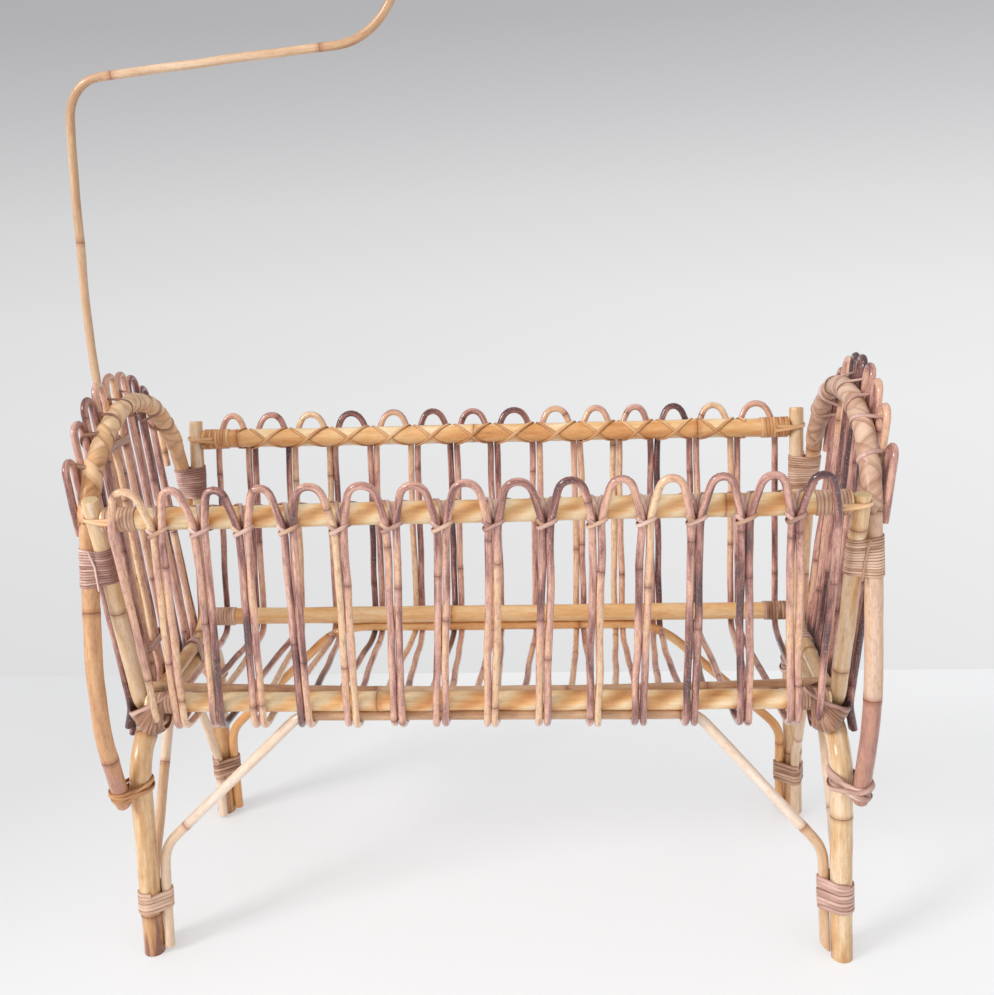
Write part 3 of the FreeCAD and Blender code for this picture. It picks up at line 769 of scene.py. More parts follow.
for face, sign, centres, tones, lean_share, rise in (
    ("front", -1, front_loop_centres, front_tones, 0.22, 0.045),
    ("rear", 1, rear_loop_centres, rear_tones, 0.34, 0.031),
):
    pairs[face] = [(a + b) / 2000 for a, b in zip(centres, centres[1:])]
    foot_places = [place / 1000 for place in front_foot_places] if face == "front" else pairs[face]
    loop_top = top_rail_height + rise
    for number, tone in enumerate(tones):
        ties = loop_legs(pairs[face], number)
        feet = loop_legs(foot_places, number)
        tie_middle = sum(ties) / 2
        climb = rail_climb(face, tie_middle)
        top_spread = (ties[1] - ties[0]) / 2 - lean_share * (loop_top - tie_height)
        top_bend = top_spread / tan((pi / 2 - atan(lean_share * cos(loop_lean))) / 2)
        legs = []
        for way, tie, foot in zip((-1, 1), ties, feet):
            inward = (sum(feet) / 2 - foot) * tail_bend_share
            if face == "front":
                leg = [(foot + inward * 0.66, front_tail_end, tail_height)]
            else:
                leg = [
                    (foot + inward, rear_tail_end, rear_tail_height(rear_tail_end)),
                    (foot + inward * 0.2, climb_width, tail_height),
                ]
            leg += [
                (foot, sign * hook_width, tail_height),
                (tie, sign * loop_width(tie_height), tie_height + climb),
                (tie_middle + way * top_spread, sign * loop_width(loop_top), loop_top + climb),
            ]
            legs.append(leg)
        bends = [0.020, 0.060, top_bend] if face == "front" else [0.120, 0.020, 0.060, top_bend]
        piece = cane(
            f"{face}_loop_{number + 1:02d}_cane",
            bent_line(legs[0] + legs[1][::-1], bends + bends[::-1]),
            loop_diameter,
            loop_cane,
            seed=100 + 50 * (sign > 0) + number,
            internode=0.27,
            tone=(tone, 0.2),
            sides=12,
            wobble=0.0016,
            ease=0.005 if face == "front" else 0.007,
            blend=loop_blend,
        )
        fit(piece, "cradle", "loop_cane", f"{face}_loop_{number + 1:02d}")

# Floor cane: one thin cane laid lengthways on the tails, from one end of the cradle to the other.
# It is the same straw-coloured cane as the braces, sprung in so that it bows towards the front.
floor_cane_diameter = 0.013
floor_cane_front = -0.115
floor_cane_height = rear_tail_height(floor_cane_front) + loop_radius + 2 * gap + floor_cane_diameter / 2
bow_rise = 0.020
bow_half = half_length + 0.002
bow_arc = (bow_half**2 + bow_rise**2) / (2 * bow_rise)
line = []
for step in range(61):
    x = bow_half * (step / 30 - 1)
    line.append((x, floor_cane_front + bow_arc - sqrt(bow_arc**2 - x**2), floor_cane_height))
piece = cane("floor_cane_cane", line, floor_cane_diameter, straw_cane, 71, 0.22, tone=(0.75, 0.12))
fit(piece, "cradle", "brace_cane", "floor_cane")

# End loops: nine hairpins of the darkest bark-on cane outside each arch, tied to it in pairs.
# Their sawn ends hang below the crossbar, except the outermost two, which stop at the arch.
end_pitch = 0.038
end_half_spread = (end_pitch - 2 * pair_half) / 2
end_loop_rise = 0.040
loop_arch_x = arch_x + arch_radius + gap + tie_gauge + gap + loop_radius
loop_foot_x = half_length + post_radius + gap + loop_radius
outer_foot = 0.614
hanging_end = 0.312
hanging_spread = 0.018
hanging_kick = 0.009
hanging_seat = 0.339
hanging_bend_height = 0.356
hanging_bend = 0.05
end_tones = {
    "left": [0.5, 0.6, 0.66, 0.2, 0.46, 0.66, 0.56, 0.5, 0.34],
    "right": [0.7, 0.64, 0.74, 0.6, 0.76, 0.68, 0.64, 0.7, 0.66],
}


def arch_top_at(width):
    return arch_centre + sqrt(arch_bend**2 - width**2)


def end_loop_x(number, height):
    seat = arch_top_at(abs(number) * end_pitch + end_half_spread)
    return loop_foot_x + (loop_arch_x - loop_foot_x) * (height - crossbar_height) / (seat - crossbar_height)


def joined(name, pieces):
    """Several canes or strips as one piece."""
    for piece in pieces:
        piece.select_set(True)
    bpy.context.view_layer.objects.active = pieces[0]
    bpy.ops.object.join()
    piece = bpy.context.object
    piece.name = name
    bpy.ops.object.select_all(action="DESELECT")
    return piece


for end, side in ends:
    hairpins = []
    pick = np.random.default_rng(80 + side)
    for number in range(-4, 5):
        centre = number * end_pitch
        top = arch_top_at(centre) + end_loop_rise
        halves = []
        bends = []
        for way in (-1, 1):
            y = centre + way * end_half_spread
            if number == 4 * way:
                half = [(end_loop_x(number, outer_foot), outer_foot)]
            else:
                low = hanging_end + pick.uniform(0, hanging_spread)
                half = [
                    (end_loop_x(number, hanging_seat) + hanging_kick, low),
                    (end_loop_x(number, hanging_bend_height), hanging_bend_height),
                ]
            half.append((end_loop_x(number, top), top))
            halves.append([(side * x, y, z) for x, z in half])
            bends.append([hanging_bend] * (len(half) - 2))
        hairpins.append(
            cane(
                f"{end}_end_loop_{number + 5}",
                bent_line(halves[0] + halves[1][::-1], bends[0] + [end_half_spread] * 2 + bends[1]),
                loop_diameter,
                loop_cane,
                seed=200 + 20 * (side > 0) + number,
                internode=0.25,
                tone=(end_tones[end][number + 4], 0.2),
                sides=12,
                wobble=0.0012,
                ease=0.004,
                blend=loop_blend,
            )
        )
    piece = joined(f"{end}_end_loop_canes", hairpins)
    # Their hanging ends are the dark root ends of the canes
    retint(piece, lambda x, y, z: 0.4 * np.clip((0.375 - z) / 0.02, 0, 1))
    fit(piece, "cradle", "loop_cane", f"{end}_end_loops")

# Veil staff: a long thin cane that stands against two end loops at the left and bends over the cradle.
# It is straw-coloured, tied at two heights, turns in the ties, and ends in an upturned tip.
staff_diameter = 0.011
staff_y = -end_pitch / 2
staff_step = sqrt((loop_radius + 2 * gap + staff_diameter / 2) ** 2 - pair_half**2)
staff_foot = 0.335
staff_bow = 0.820
staff_lean = 0.058
staff_shoulder = 1.161
arm_reach = 0.389
arm_end = 1.193
tip_reach = 0.070
tip_top = 1.323


def staff_x(height):
    return -(end_loop_x(-1, height) + staff_step)


shoulder_x = staff_x(staff_bow) + staff_lean * (staff_shoulder - staff_bow)
staff_run = [
    (staff_x(staff_foot), staff_foot),
    (staff_x(staff_bow), staff_bow),
    (shoulder_x, staff_shoulder),
    (shoulder_x + arm_reach, arm_end),
    (shoulder_x + arm_reach + tip_reach, tip_top),
]
piece = cane(
    "veil_staff_cane",
    bent_line([(x, staff_y, z) for x, z in staff_run], [1.5, 0.047, 0.084]),
    staff_diameter,
    straw_cane,
    72,
    0.24,
    tone=(0.76, 0.1),
    ease=0.008,
    wobble=0.0010,
)
fit(piece, "staff", "staff_cane", "veil_staff")

# Rail-end windings: a split strip wound tightly over the last of each rail, hiding the nail that holds it.
# The strips are flat below and domed above, because they are split from the skin of the cane.
winding_pitch = 0.0044
winding_lengths = {"top": 0.040, "bottom": 0.036}
winding_size = (0.0046, 0.0012)
strip_section_shares = [
    (-0.5, -0.3),
    (-0.5, 0.3),
    (-0.42, 0.75),
    (-0.2, 0.97),
    (0.2, 0.97),
    (0.42, 0.75),
    (0.5, 0.3),
    (0.5, -0.3),
]
# How deep the painted seam shade lies at each corner of a strip's section
strip_edges = [1, 1, 0.6, 0, 0, 0.6, 1, 1]


def strip_finish(name, tones, streak, roughness, coat):
    """Split cane: the shiny skin side of a thin strip, straight-grained, with painted shade darkening it
    toward its edges.
    """
    finish, tree = bare_finish(name)
    edge = add(tree, "ShaderNodeAttribute", attribute_name="edge").outputs["Fac"]
    patches, fibres = fleck_masks(
        tree,
        (
            # Patches of tone 6 mm wide and 30 mm long
            (0.006, 0.03, 3, 0.5),
            # Fibres drawn 0.7 mm wide, coarser than the real 0.2 mm, so that they show
            (0.0007, 0.04, 2, 0.5),
        ),
    )
    colour = stained(
        tree,
        toned_skin(tree, patches, 0.25, tones),
        (
            ("#96644C", fibres, 0.42, 0.72, streak, "MULTIPLY", "LINEAR"),
            # Painted shade: the strip is darker toward its split edges, as shade in the seams between strips
            ("#A06E50", edge, 0, 1, 0.5, "MULTIPLY", "LINEAR"),
        ),
    )
    varnished(tree, colour, roughness, coat, 0.25, fibres, 0.0003)
    return finish


# Golden split cane: strips from the pale side of the stem, tan to golden
golden_strip = strip_finish(
    "golden_split_cane",
    tones=((0, "#FFD8AC"), (0.5, "#F0C08E"), (1, "#C48B56")),
    streak=0.2,
    roughness=0.4,
    coat=0.15,
)
# Pink split cane: strips that keep their bark side out, pinkish brown with a lilac gloss
pink_strip = strip_finish(
    "pinkish_split_cane",
    tones=((0, "#F0DACF"), (0.5, "#DAB3A4"), (1, "#A67A6C")),
    streak=0.25,
    roughness=0.34,
    coat=0.3,
)
# Brown split cane: strips that have darkened with handling, warm brown with tan edges
brown_strip = strip_finish(
    "brown_split_cane",
    tones=((0, "#E8C6AC"), (0.5, "#CBA083"), (1, "#976A52")),
    streak=0.25,
    roughness=0.38,
    coat=0.2,
)
# Amber split cane: strips from an older, redder stem, warm as dark honey
amber_strip = strip_finish(
    "amber_split_cane",
    tones=((0, "#F2C896"), (0.5, "#DFA56C"), (1, "#B0764A")),
    streak=0.25,
    roughness=0.38,
    coat=0.2,
)


def laid_strip(name, rows, finish, seed):
    """A strip whose closed cross-sections are given row by row along it."""
    pick = np.random.default_rng(seed)
    rows = np.asarray(rows)
    count, sides = rows.shape[:2]
    number = np.arange(count * sides).reshape(count, sides)
    faces = []
    for k in range(sides):
        after = (k + 1) % sides
        quads = [number[:-1, k], number[1:, k], number[1:, after], number[:-1, after]]
        faces += np.column_stack(quads).tolist()
    faces += [number[0, :].tolist(), number[-1, ::-1].tolist()]
    mesh = bpy.data.meshes.new(name)
    mesh.from_pydata(rows.reshape(-1, 3).tolist(), [], faces)
    piece = bpy.data.objects.new(name, mesh)
    bpy.context.scene.collection.objects.link(piece)
    walked = walk(rows.mean(axis=1))
    across = np.linalg.norm(rows - rows[:, :1], axis=2)
    along = np.repeat(walked[:, None], sides, axis=1) + pick.uniform(0, 40)
    marks = np.arange(0, walked[-1] + 0.08, 0.04)
    tint = np.interp(walked, marks, np.clip(pick.normal(0.5, 0.25, size=len(marks)), 0.05, 0.95))
    mark(
        mesh,
        grain=np.stack([across, np.zeros_like(across), along], axis=2),
        tint=np.repeat(tint, sides),
        edge=np.tile(strip_edges, count),
    )
    mesh.materials.append(finish)
    smoothed(piece, 50)
    return piece


def strip(name, course, size, finish, seed):
    """A flat strip along a course, its skin side facing outward; its size is a width and a thickness."""
    width, thickness = size
    places, outward = (np.asarray(rows, float) for rows in course)
    way = np.gradient(places, axis=0)
    way /= np.linalg.norm(way, axis=1, keepdims=True)
    across = np.cross(way, outward)
    across /= np.linalg.norm(across, axis=1, keepdims=True)
    up = np.cross(across, way)
    rows = [places + across * (width * a) + up * (thickness * b) for a, b in strip_section_shares]
    return laid_strip(name, np.stack(rows, axis=1), finish, seed)


def body_of_canes(names, near, reach):
    """The canes near a place, as rows of balls (x, y, z, radius) a millimetre and a half apart."""
    balls = []
    for name in names:
        places, radii = laid[name]
        walked = walk(places)
        even = np.arange(0, walked[-1], 0.0015)
        rows = np.column_stack([along_line(even, walked, places), np.interp(even, walked, radii)])
        balls.append(rows[np.linalg.norm(rows[:, :3] - np.array(near), axis=1) < reach])
    return np.concatenate(balls)


def belt(balls, middle, axis, pitch, turns, start=0.0, lift=0.0004, jitter=0.0, seed=0, steps=44):
    """The places of a strip pulled tight round the balls and wound along axis, and the ways outward."""
    pick = np.random.default_rng(seed)
    axis = Vector(axis).normalized()
    u = axis.orthogonal().normalized()
    v = axis.cross(u)
    axis, u, v, middle = (np.array(way) for way in (axis, u, v, middle))
    shift = pick.normal(0, jitter, size=int(turns) + 3) if jitter else np.zeros(int(turns) + 3)
    places, outward = [], []
    for step in range(int(turns * steps) + 1):
        turn = step / steps
        angle = 2 * pi * (turn + start)
        level = middle + axis * (pitch * (turn - turns / 2) + np.interp(turn, np.arange(len(shift)), shift))
        from_level = (balls[:, :3] - level) @ axis
        near = np.abs(from_level) < balls[:, 3]
        slice_radius = np.sqrt(balls[near, 3] ** 2 - from_level[near] ** 2)
        away = balls[near, :3] - level
        way = u * cos(angle) + v * sin(angle)
        best = (away @ way + slice_radius).argmax()
        flat = u * (away[best] @ u) + v * (away[best] @ v)
        places.append(level + flat + way * (slice_radius[best] + lift))
        outward.append(way)
    return places, outward


for seed, (face, sign) in enumerate(long_sides, start=300):
    for end, side in ends:
        for level, (radius, height, half_width) in rail_sizes.items():
            length = winding_lengths[level]
            x = side * (rail_end - 0.002 - length / 2)
            middle = (x, sign * half_width, height + rail_climb(face, side * rail_end, level))
            balls = body_of_canes([f"{face}_{level}_rail_cane"], middle, 0.07)
            turns = length / winding_pitch
            course = belt(balls, middle, (side, 0, 0), winding_pitch, turns, jitter=0.0003, seed=seed)
            finish = amber_strip if (face, level) == ("rear", "top") else brown_strip
            piece = strip(f"{face}_{end}_{level}_rail_winding", course, winding_size, finish, seed)
            if (face, level) == ("rear", "bottom"):
                retint(piece, 0.3 if side > 0 else -0.2)
            fit(piece, "cradle", "binding_strip", "rail_end_windings")

# Post lashings: fourteen turns of bark-side strip round the post and the arch where they cross.
# One more strip is hauled down the valley between the two canes to tighten them.
corners = [(end, side, face, sign) for end, side in ends for face, sign in long_sides]
lashing_gauge = 0.0034
lashing_size = (lashing_gauge, 0.0015)
haul_size = (0.003, 0.0014)
haul_half = 0.026
haul_lean = 0.004
for seed, (end, side, face, sign) in enumerate(corners, start=320):
    middle = (side * (half_length + 0.010), sign * post_width(lashing_height), lashing_height)
    balls = body_of_canes([f"{end}_post_hoop_cane", f"{end}_arch_cane"], middle, 0.09)
    course = belt(balls, middle, (0, 0, 1), pitch=lashing_gauge, turns=14, jitter=0.0002, seed=seed)
    finish = pink_strip if side < 0 else brown_strip
    turns = strip("turns", course, lashing_size, finish, seed)
    # The left lashings are painted darker toward the middle of the cradle, as shade on their side away from
    # the light
    if side < 0:
        retint(turns, lambda x, y, z: np.interp(x - middle[0], (-0.02, 0.02), (0, 0.7)))
    else:
        retint(turns, lambda x, y, z: np.interp(z - middle[2], (-0.026, -0.004, 0.026), (0.2, -0.7, 0.1)))
    places = []
    for share in np.linspace(-1, 1, 15):
        height = lashing_height + haul_half * share
        beside = np.abs(balls[:, 2] - height) < 0.004
        front = (balls[beside, 1] * sign + balls[beside, 3]).max()
        places.append((middle[0] + side * (haul_lean * share - 0.001), sign * (front + 0.0012), height))
    haul = strip("haul", (places, [(0, sign, 0)] * len(places)), haul_size, finish, seed + 9)
    piece = joined(f"{end}_{face}_post_lashing", [turns, haul])
    fit(piece, "cradle", "binding_strip", "post_lashings")

# Foot lashings: five to seven turns of half-round strip that hold the long and the end brace to the leg.
# Each was tied by hand at its own height, and its last end stands off a little.
foot_heights = [0.084, 0.096, 0.098, 0.080]
foot_turns = [5, 5, 7, 5]
foot_pitch = 0.0058
foot_size = (0.0059, 0.0022)
for seed, ((end, side, face, sign), height, turns) in enumerate(
    zip(corners, foot_heights, foot_turns), start=340
):
    middle = (side * leg_length(height), sign * leg_width(height), height)
    names = [f"{end}_leg_hoop_cane", f"{face}_long_brace_cane", f"{end}_end_brace_cane"]
    balls = body_of_canes(names, middle, 0.07)
    axis = (0.05 * side, 0.05, 1)
    places, outward = belt(balls, middle, axis, foot_pitch, turns + 0.3, start=0.4, jitter=0.0005, seed=seed)
    for step in (1, 2, 3):
        places[-step] = places[-step] + outward[-step] * (0.0012 * (4 - step))
    finish = pink_strip if (end, face) == ("right", "front") else brown_strip
    piece = strip(f"{end}_{face}_foot_lashing", (places, outward), foot_size, finish, seed)
    retint(piece, -0.25 if (end, face) == ("left", "front") else 0.1)
    fit(piece, "cradle", "binding_strip", "foot_lashings")

# Knee lashings: two wide strips that cross between the leg and the end of the bow, over two plain turns.
# They are pulled so tight that they sit in the notch between the two canes.
# Height, slant of the crossing strips, size of the strip, its finish and how much darker it is
knee_strips = {
    "left": (0.262, 0.24, (0.0056, 0.0014), amber_strip, 0.3),
    "right": (0.270, 0.5, (0.008, 0.0014), pink_strip, 0),
}
for seed, (end, side, face, sign) in enumerate(corners, start=360):
    height, slant, size, finish, tint = knee_strips[end]
    middle = (side * (leg_length(height) + 0.008), sign * (leg_width(height) + 0.005), height)
    balls = body_of_canes([f"{end}_leg_hoop_cane", f"{end}_arch_cane"], middle, 0.08)
    pieces = []
    for number, (tilt, rise) in enumerate(((0.06, -0.007), (-0.05, 0.005), (slant, 0.0), (-slant, 0.001))):
        level = np.array(middle) + (0, 0, rise)
        axis = (tilt * side, 0.04 * sign, 1)
        lift = 0.0004 + 0.0007 * number
        course = belt(balls, level, axis, pitch=0.0012, turns=1.04, start=0.13 * number, lift=lift)
        pieces.append(strip(f"turn_{number}", course, size, finish, seed + 7 * number))
        retint(pieces[-1], tint)
    piece = joined(f"{end}_{face}_knee_lashing", pieces)
    fit(piece, "cradle", "binding_strip", "knee_lashings")

# Crossbar lashings: five turns of bark-side strip round the crossbar and the bar of the leg hoop under it.
# There are two at each end, wound tightly side by side, and they join the legs to the basket.
crossbar_gauge = 0.0036
crossbar_size = (crossbar_gauge, 0.0014)
for seed, (end, side, face, sign) in enumerate(corners, start=380):
    middle = (side * half_length, sign * 2 * end_pitch, crossbar_height - 0.012)
    balls = body_of_canes([f"{end}_leg_hoop_cane", f"{end}_post_hoop_cane"], middle, 0.05)
    course = belt(balls, middle, (0, sign, 0), pitch=crossbar_gauge, turns=5, jitter=0.0003, seed=seed)
    piece = strip(f"{end}_{face}_crossbar_lashing", course, crossbar_size, pink_strip, seed)
    fit(piece, "cradle", "binding_strip", "crossbar_lashings")

# Arch bindings: three wide strips, one of them of the other hand, cover the top of each arch in facets.
# A narrow bark-side tie at each pair of end loops pulls them against the arch.
binding_foot = 0.632
wide_pitch = 0.058
wide_thickness = 0.0011
wide_strips = ((1, 0, 0.025, 0.0003), (1, 0.5, 0.025, 0.0006), (-1, 0.2, 0.019, 0.0014))
steps_per_turn = 36
arch_tie_size = (0.0064, 0.0014)
sideways = np.array((1.0, 0, 0))
for seed, (end, side) in enumerate(ends, start=400):
    places = laid[f"{end}_arch_cane"][0]
    walked = walk(places)
    high = walked[places[:, 2] > binding_foot]
    way_along = np.gradient(places, walked, axis=0)
    pieces = []
    for number, (hand, start, width, lift) in enumerate(wide_strips):
        seat = arch_radius + lift
        slant = atan(wide_pitch / (2 * pi * seat))
        steps = int((high[-1] - high[0]) / wide_pitch * steps_per_turn)
        rows = []
        for along in np.linspace(high[0], high[-1], steps + 1):
            angle = hand * 2 * pi * ((along - high[0]) / wide_pitch + start)
            row = []
            for a, b in strip_section_shares:
                offset = a * width
                distance = np.clip(along + offset * cos(slant), 0, walked[-1])
                turn = angle - hand * offset * sin(slant) / seat
                tangent = along_line(distance, walked, way_along)
                upward = np.cross(tangent / np.linalg.norm(tangent), sideways)
                out = sideways * cos(turn) + upward * sin(turn)
                row.append(along_line(distance, walked, places) + out * (seat + wide_thickness * b))
            rows.append(row)
        finish = golden_strip if side < 0 else brown_strip
        wide = laid_strip(f"wide_{number}", rows, finish, seed + 3 * number)
        if side < 0:
            # Painted light and shade: pale at the top and on the far side, which lie in shade, and deeper
            # gold down the near leg, where the light falls strongest
            levels, tints = (0.66, 0.7, 0.75), (0.5, 0.05, -0.7)
            retint(wide, lambda x, y, z: np.interp(np.where(y < 0, z, 0.74), levels, tints))
        else:
            retint(wide, lambda x, y, z: np.interp(z, (0.66, 0.75), (-0.15, -0.42)))
        pieces.append(wide)
    for pair in range(-4, 4):
        y = (pair + 0.5) * end_pitch
        swing = asin(y / arch_bend)
        middle = (side * (arch_x + 0.008), y, arch_top_at(y))
        arch = body_of_canes([f"{end}_arch_cane"], middle, 0.045)
        legs = body_of_canes([f"{end}_end_loop_{pair + 5}", f"{end}_end_loop_{pair + 6}"], middle, 0.017)
        axis = ((0.3 if pair % 2 else -0.3) * side, cos(swing), -sin(swing))
        lift = 0.0008 if side < 0 else 0.0022
        balls = np.concatenate([arch, legs])
        course = belt(balls, middle, axis, pitch=0.0006, turns=1.02, start=0.3, lift=lift)
        finish = brown_strip if side < 0 else pink_strip
        pieces.append(strip(f"tie_{pair}", course, arch_tie_size, finish, seed + 20 + pair))
        retint(pieces[-1], 0.25 if side < 0 else 0)
    piece = joined(f"{end}_arch_binding_strips", pieces)
    fit(piece, "cradle", "binding_strip", f"{end}_arch_binding")

# Rail bindings: two strips run along each top rail in opposite hands and tie every pair of loop legs to it.
# They cross on the inside of the rail halfway between the pairs, and pass over the legs on the outside.
# A short cross of narrower strip pulls the two legs of each pair together.
lens_half = 0.031
run_size = (0.0046, 0.0012)
rail_tie_size = (0.0054, 0.0013)
# Where a strip goes at each pair, as distance along the rail and degrees round it from the outer face:
# 90 is the top of the rail and 180 the inner face
strip_route = ((-0.013, -122), (-0.006, -95), (0.006, 95), (0.013, 122))
route_steps = 24
soft = np.hanning(13) / np.hanning(13).sum()


def amber_lens(x, y, z):
    """Between the strips the rail is tinted amber, and also beyond the last pairs; beside the strips it is
    tinted paler.
    """
    places = np.array(pairs["rear"])
    away = np.abs(x[:, None] - places[None]).min(axis=1)
    width = np.cos(np.minimum(1, away / lens_half) * pi / 2)
    depth = np.abs(z - top_rail_height) / top_rail_radius
    beyond = (x < places[0]) | (x > places[-1])
    return np.where(((depth < width) & (y < top_half_width)) | beyond, 0.08, -0.3)


retint(bpy.data.objects["rear_top_rail_cane"], amber_lens)
for seed, (face, sign) in enumerate(long_sides, start=420):
    pieces = []
    finish = amber_strip if face == "rear" else pink_strip
    route = []
    for turn, place in enumerate(pairs[face]):
        route += [(place + offset, 360 * turn + angle) for offset, angle in strip_route]
    fine = np.linspace(0, len(route) - 1, (len(route) - 1) * route_steps + 1)
    xs, angles = (
        np.convolve(np.pad(np.interp(fine, np.arange(len(row)), row), 6, mode="edge"), soft, "valid")
        for row in np.transpose(route)
    )
    rise = np.array([rail_climb(face, x) for x in xs])
    centres = np.column_stack([xs, np.full_like(xs, sign * top_half_width), top_rail_height + rise])
    for number, hand in enumerate((1, -1)):
        turned = np.radians(angles * hand)
        outward = np.column_stack([np.zeros_like(xs), sign * np.cos(turned), np.sin(turned)])
        places = centres + outward * (top_rail_radius + 0.0007 + 0.0007 * number)
        pieces.append(strip(f"run_{number}", (places, outward), run_size, finish, seed + 5 * number))
    for pair, place in enumerate(pairs[face]):
        height = tie_height - 0.001 + rail_climb(face, place)
        width = sign * loop_width(tie_height)
        for number, (tilt, legs) in enumerate(((-0.5, (0, 1)), (0.75, (0,)))):
            names = [f"{face}_loop_{pair + 1 + leg:02d}_cane" for leg in legs]
            balls = body_of_canes(names, (place, width, height), 0.024)
            middle = (place - pair_half * number, width, height + 0.001 * number)
            lift = 0.0012 - 0.0006 * number
            course = belt(balls, middle, (tilt, 0, 1), pitch=0.0006, turns=1.06, start=0.3, lift=lift)
            tie, tint = (brown_strip, -0.1) if (pair + number) % 3 == 0 else (pink_strip, 0.12)
            tie_seed = seed + 30 + 2 * pair + number
            pieces.append(strip(f"tie_{pair}_{number}", course, rail_tie_size, tie, tie_seed))
            retint(pieces[-1], tint)
    piece = joined(f"{face}_rail_binding_strips", pieces)
    fit(piece, "cradle", "binding_strip", f"{face}_rail_binding")

# Staff ties: four turns of bark-side strip round the staff and the two loop canes that it stands against.
# They are wound at two heights, and the staff can be turned in them by hand.
staff_tie_gauge = 0.0028
staff_tie_size = (staff_tie_gauge, 0.0012)
for seed, (place, height) in enumerate((("low", 0.405), ("high", 0.695)), start=440):
    middle = (staff_x(height) + 0.006, staff_y, height)
    balls = body_of_canes(["veil_staff_cane", "left_end_loop_4", "left_end_loop_5"], middle, 0.05)
    course = belt(balls, middle, (0, 0, 1), pitch=staff_tie_gauge, turns=4, lift=0.0006)
    piece = strip(f"{place}_staff_tie", course, staff_tie_size, pink_strip, seed)
    fit(piece, "cradle", "binding_strip", "staff_ties")

# Corner wraps: at the two front corners, brown strips fanned round the rail end and the bend of the hoop.
# Packing under them rounds the corner into a heel, and a pale strip edges the cup in which the post stands.
fan_bands = 25
fan_start = 4
fan_step = 2.5
fan_pivot = (0.424, 0.140, 0.380)
heel_place = (0.447, 0.130, 0.362)
rim_tilt = 1.1
band_size = (0.0058, 0.0010)
rim_size = (0.0060, 0.0014)
packing_balls = [(0.434, 0.146, 0.352, 0.019), (0.445, 0.145, 0.347, 0.021), (0.457, 0.141, 0.355, 0.0165)]
for seed, (end, side, face, sign) in enumerate(corners[::2], start=460):
    pivot = np.multiply(fan_pivot, (side, sign, 1))
    heel = np.multiply(heel_place, (side, sign, 1))
    balls = body_of_canes([f"{face}_bottom_rail_cane", f"{end}_post_hoop_cane"], heel, 0.055)
    packing = [(side * x, sign * y, z, radius) for x, y, z, radius in packing_balls]
    balls = np.concatenate([balls, np.array(packing)])
    pieces = []
    for number in range(fan_bands):
        tilt = radians(fan_start + fan_step * number)
        axis = (side * cos(tilt), 0, sin(tilt))
        lift = 0.0008 + 0.0001 * (number % 3)
        course = belt(balls, pivot, axis, pitch=0.001, turns=1.03, start=0.25, lift=lift, steps=60)
        pieces.append(strip(f"band_{number}", course, band_size, brown_strip, seed + 11 * number))
        retint(pieces[-1], 0.32)
    axis = (side * cos(rim_tilt), 0, sin(rim_tilt))
    course = belt(balls, pivot, axis, pitch=0.001, turns=1.03, start=0.25, lift=0.0018, steps=60)
    pieces.append(strip("rim", course, rim_size, pink_strip, seed + 3))
    piece = joined(f"{end}_{face}_corner_wrap", pieces)
    fit(piece, "cradle", "binding_strip")

# Post belts: two turns of golden split cane round the post, the arch and the end of the top rail.
# They lie a little aslant, one over the other, and are pulled tight.
belt_height = 0.647
belt_size = (0.0052, 0.0013)
for seed, (end, side, face, sign) in enumerate(corners, start=480):
    height = belt_height + rail_climb(face, side * rail_end) / 2
    middle = (side * (half_length + 0.004), sign * post_width(height), height)
    names = [f"{end}_post_hoop_cane", f"{end}_arch_cane", f"{face}_top_rail_cane"]
    balls = body_of_canes(names, middle, 0.03)
    pieces = []
    for number, tilt in enumerate((0.05, -0.12)):
        lift = 0.0006 + 0.0008 * number
        course = belt(balls, middle, (tilt * side, 0.04, 1), pitch=0.002, turns=1.08, start=0.2, lift=lift)
        pieces.append(strip(f"belt_{number}", course, belt_size, golden_strip, seed + number))
    piece = joined(f"{end}_{face}_post_belt", pieces)
    fit(piece, "cradle", "binding_strip")

# Studio: a floor painted white, up to a plain pale wall that the room itself stands for.
# Soft daylight falls from a window at the upper left in front, and the room fills the shadows.
floor_half_length = 4.5
floor_front = -6
wall_distance = 0.70
bpy.ops.mesh.primitive_plane_add(size=2, location=(0, 0, 0))
floor = bpy.context.object
floor.name = "studio_floor"
for vertex in floor.data.vertices:
    vertex.co.x *= floor_half_length
    vertex.co.y = floor_front if vertex.co.y < 0 else wall_distance


def seen_by_eye(tree):
    """One where the camera sees the place, straight, mirrored or through glass, and nought for its light."""
    path = add(tree, "ShaderNodeLightPath").outputs
    seen = path["Is Camera Ray"]
    for kind in ("Is Glossy Ray", "Is Transmission Ray"):
        seen = add(tree, "ShaderNodeMath", {0: seen, 1: path[kind]}, operation="MAXIMUM").outputs[0]
    return seen


# Painted floor: flat white paint; to the camera it is half as deep in shadow, as in a white room
pale, tree = bare_finish("painted_floor")
floor_look = {"Base Color": linear("#F3F4F5"), "Roughness": 0.9, "IOR": 1.3}
surface = add(tree, "ShaderNodeBsdfPrincipled", floor_look)
share = add(tree, "ShaderNodeMath", {0: seen_by_eye(tree), 1: 0.45}, operation="MULTIPLY")
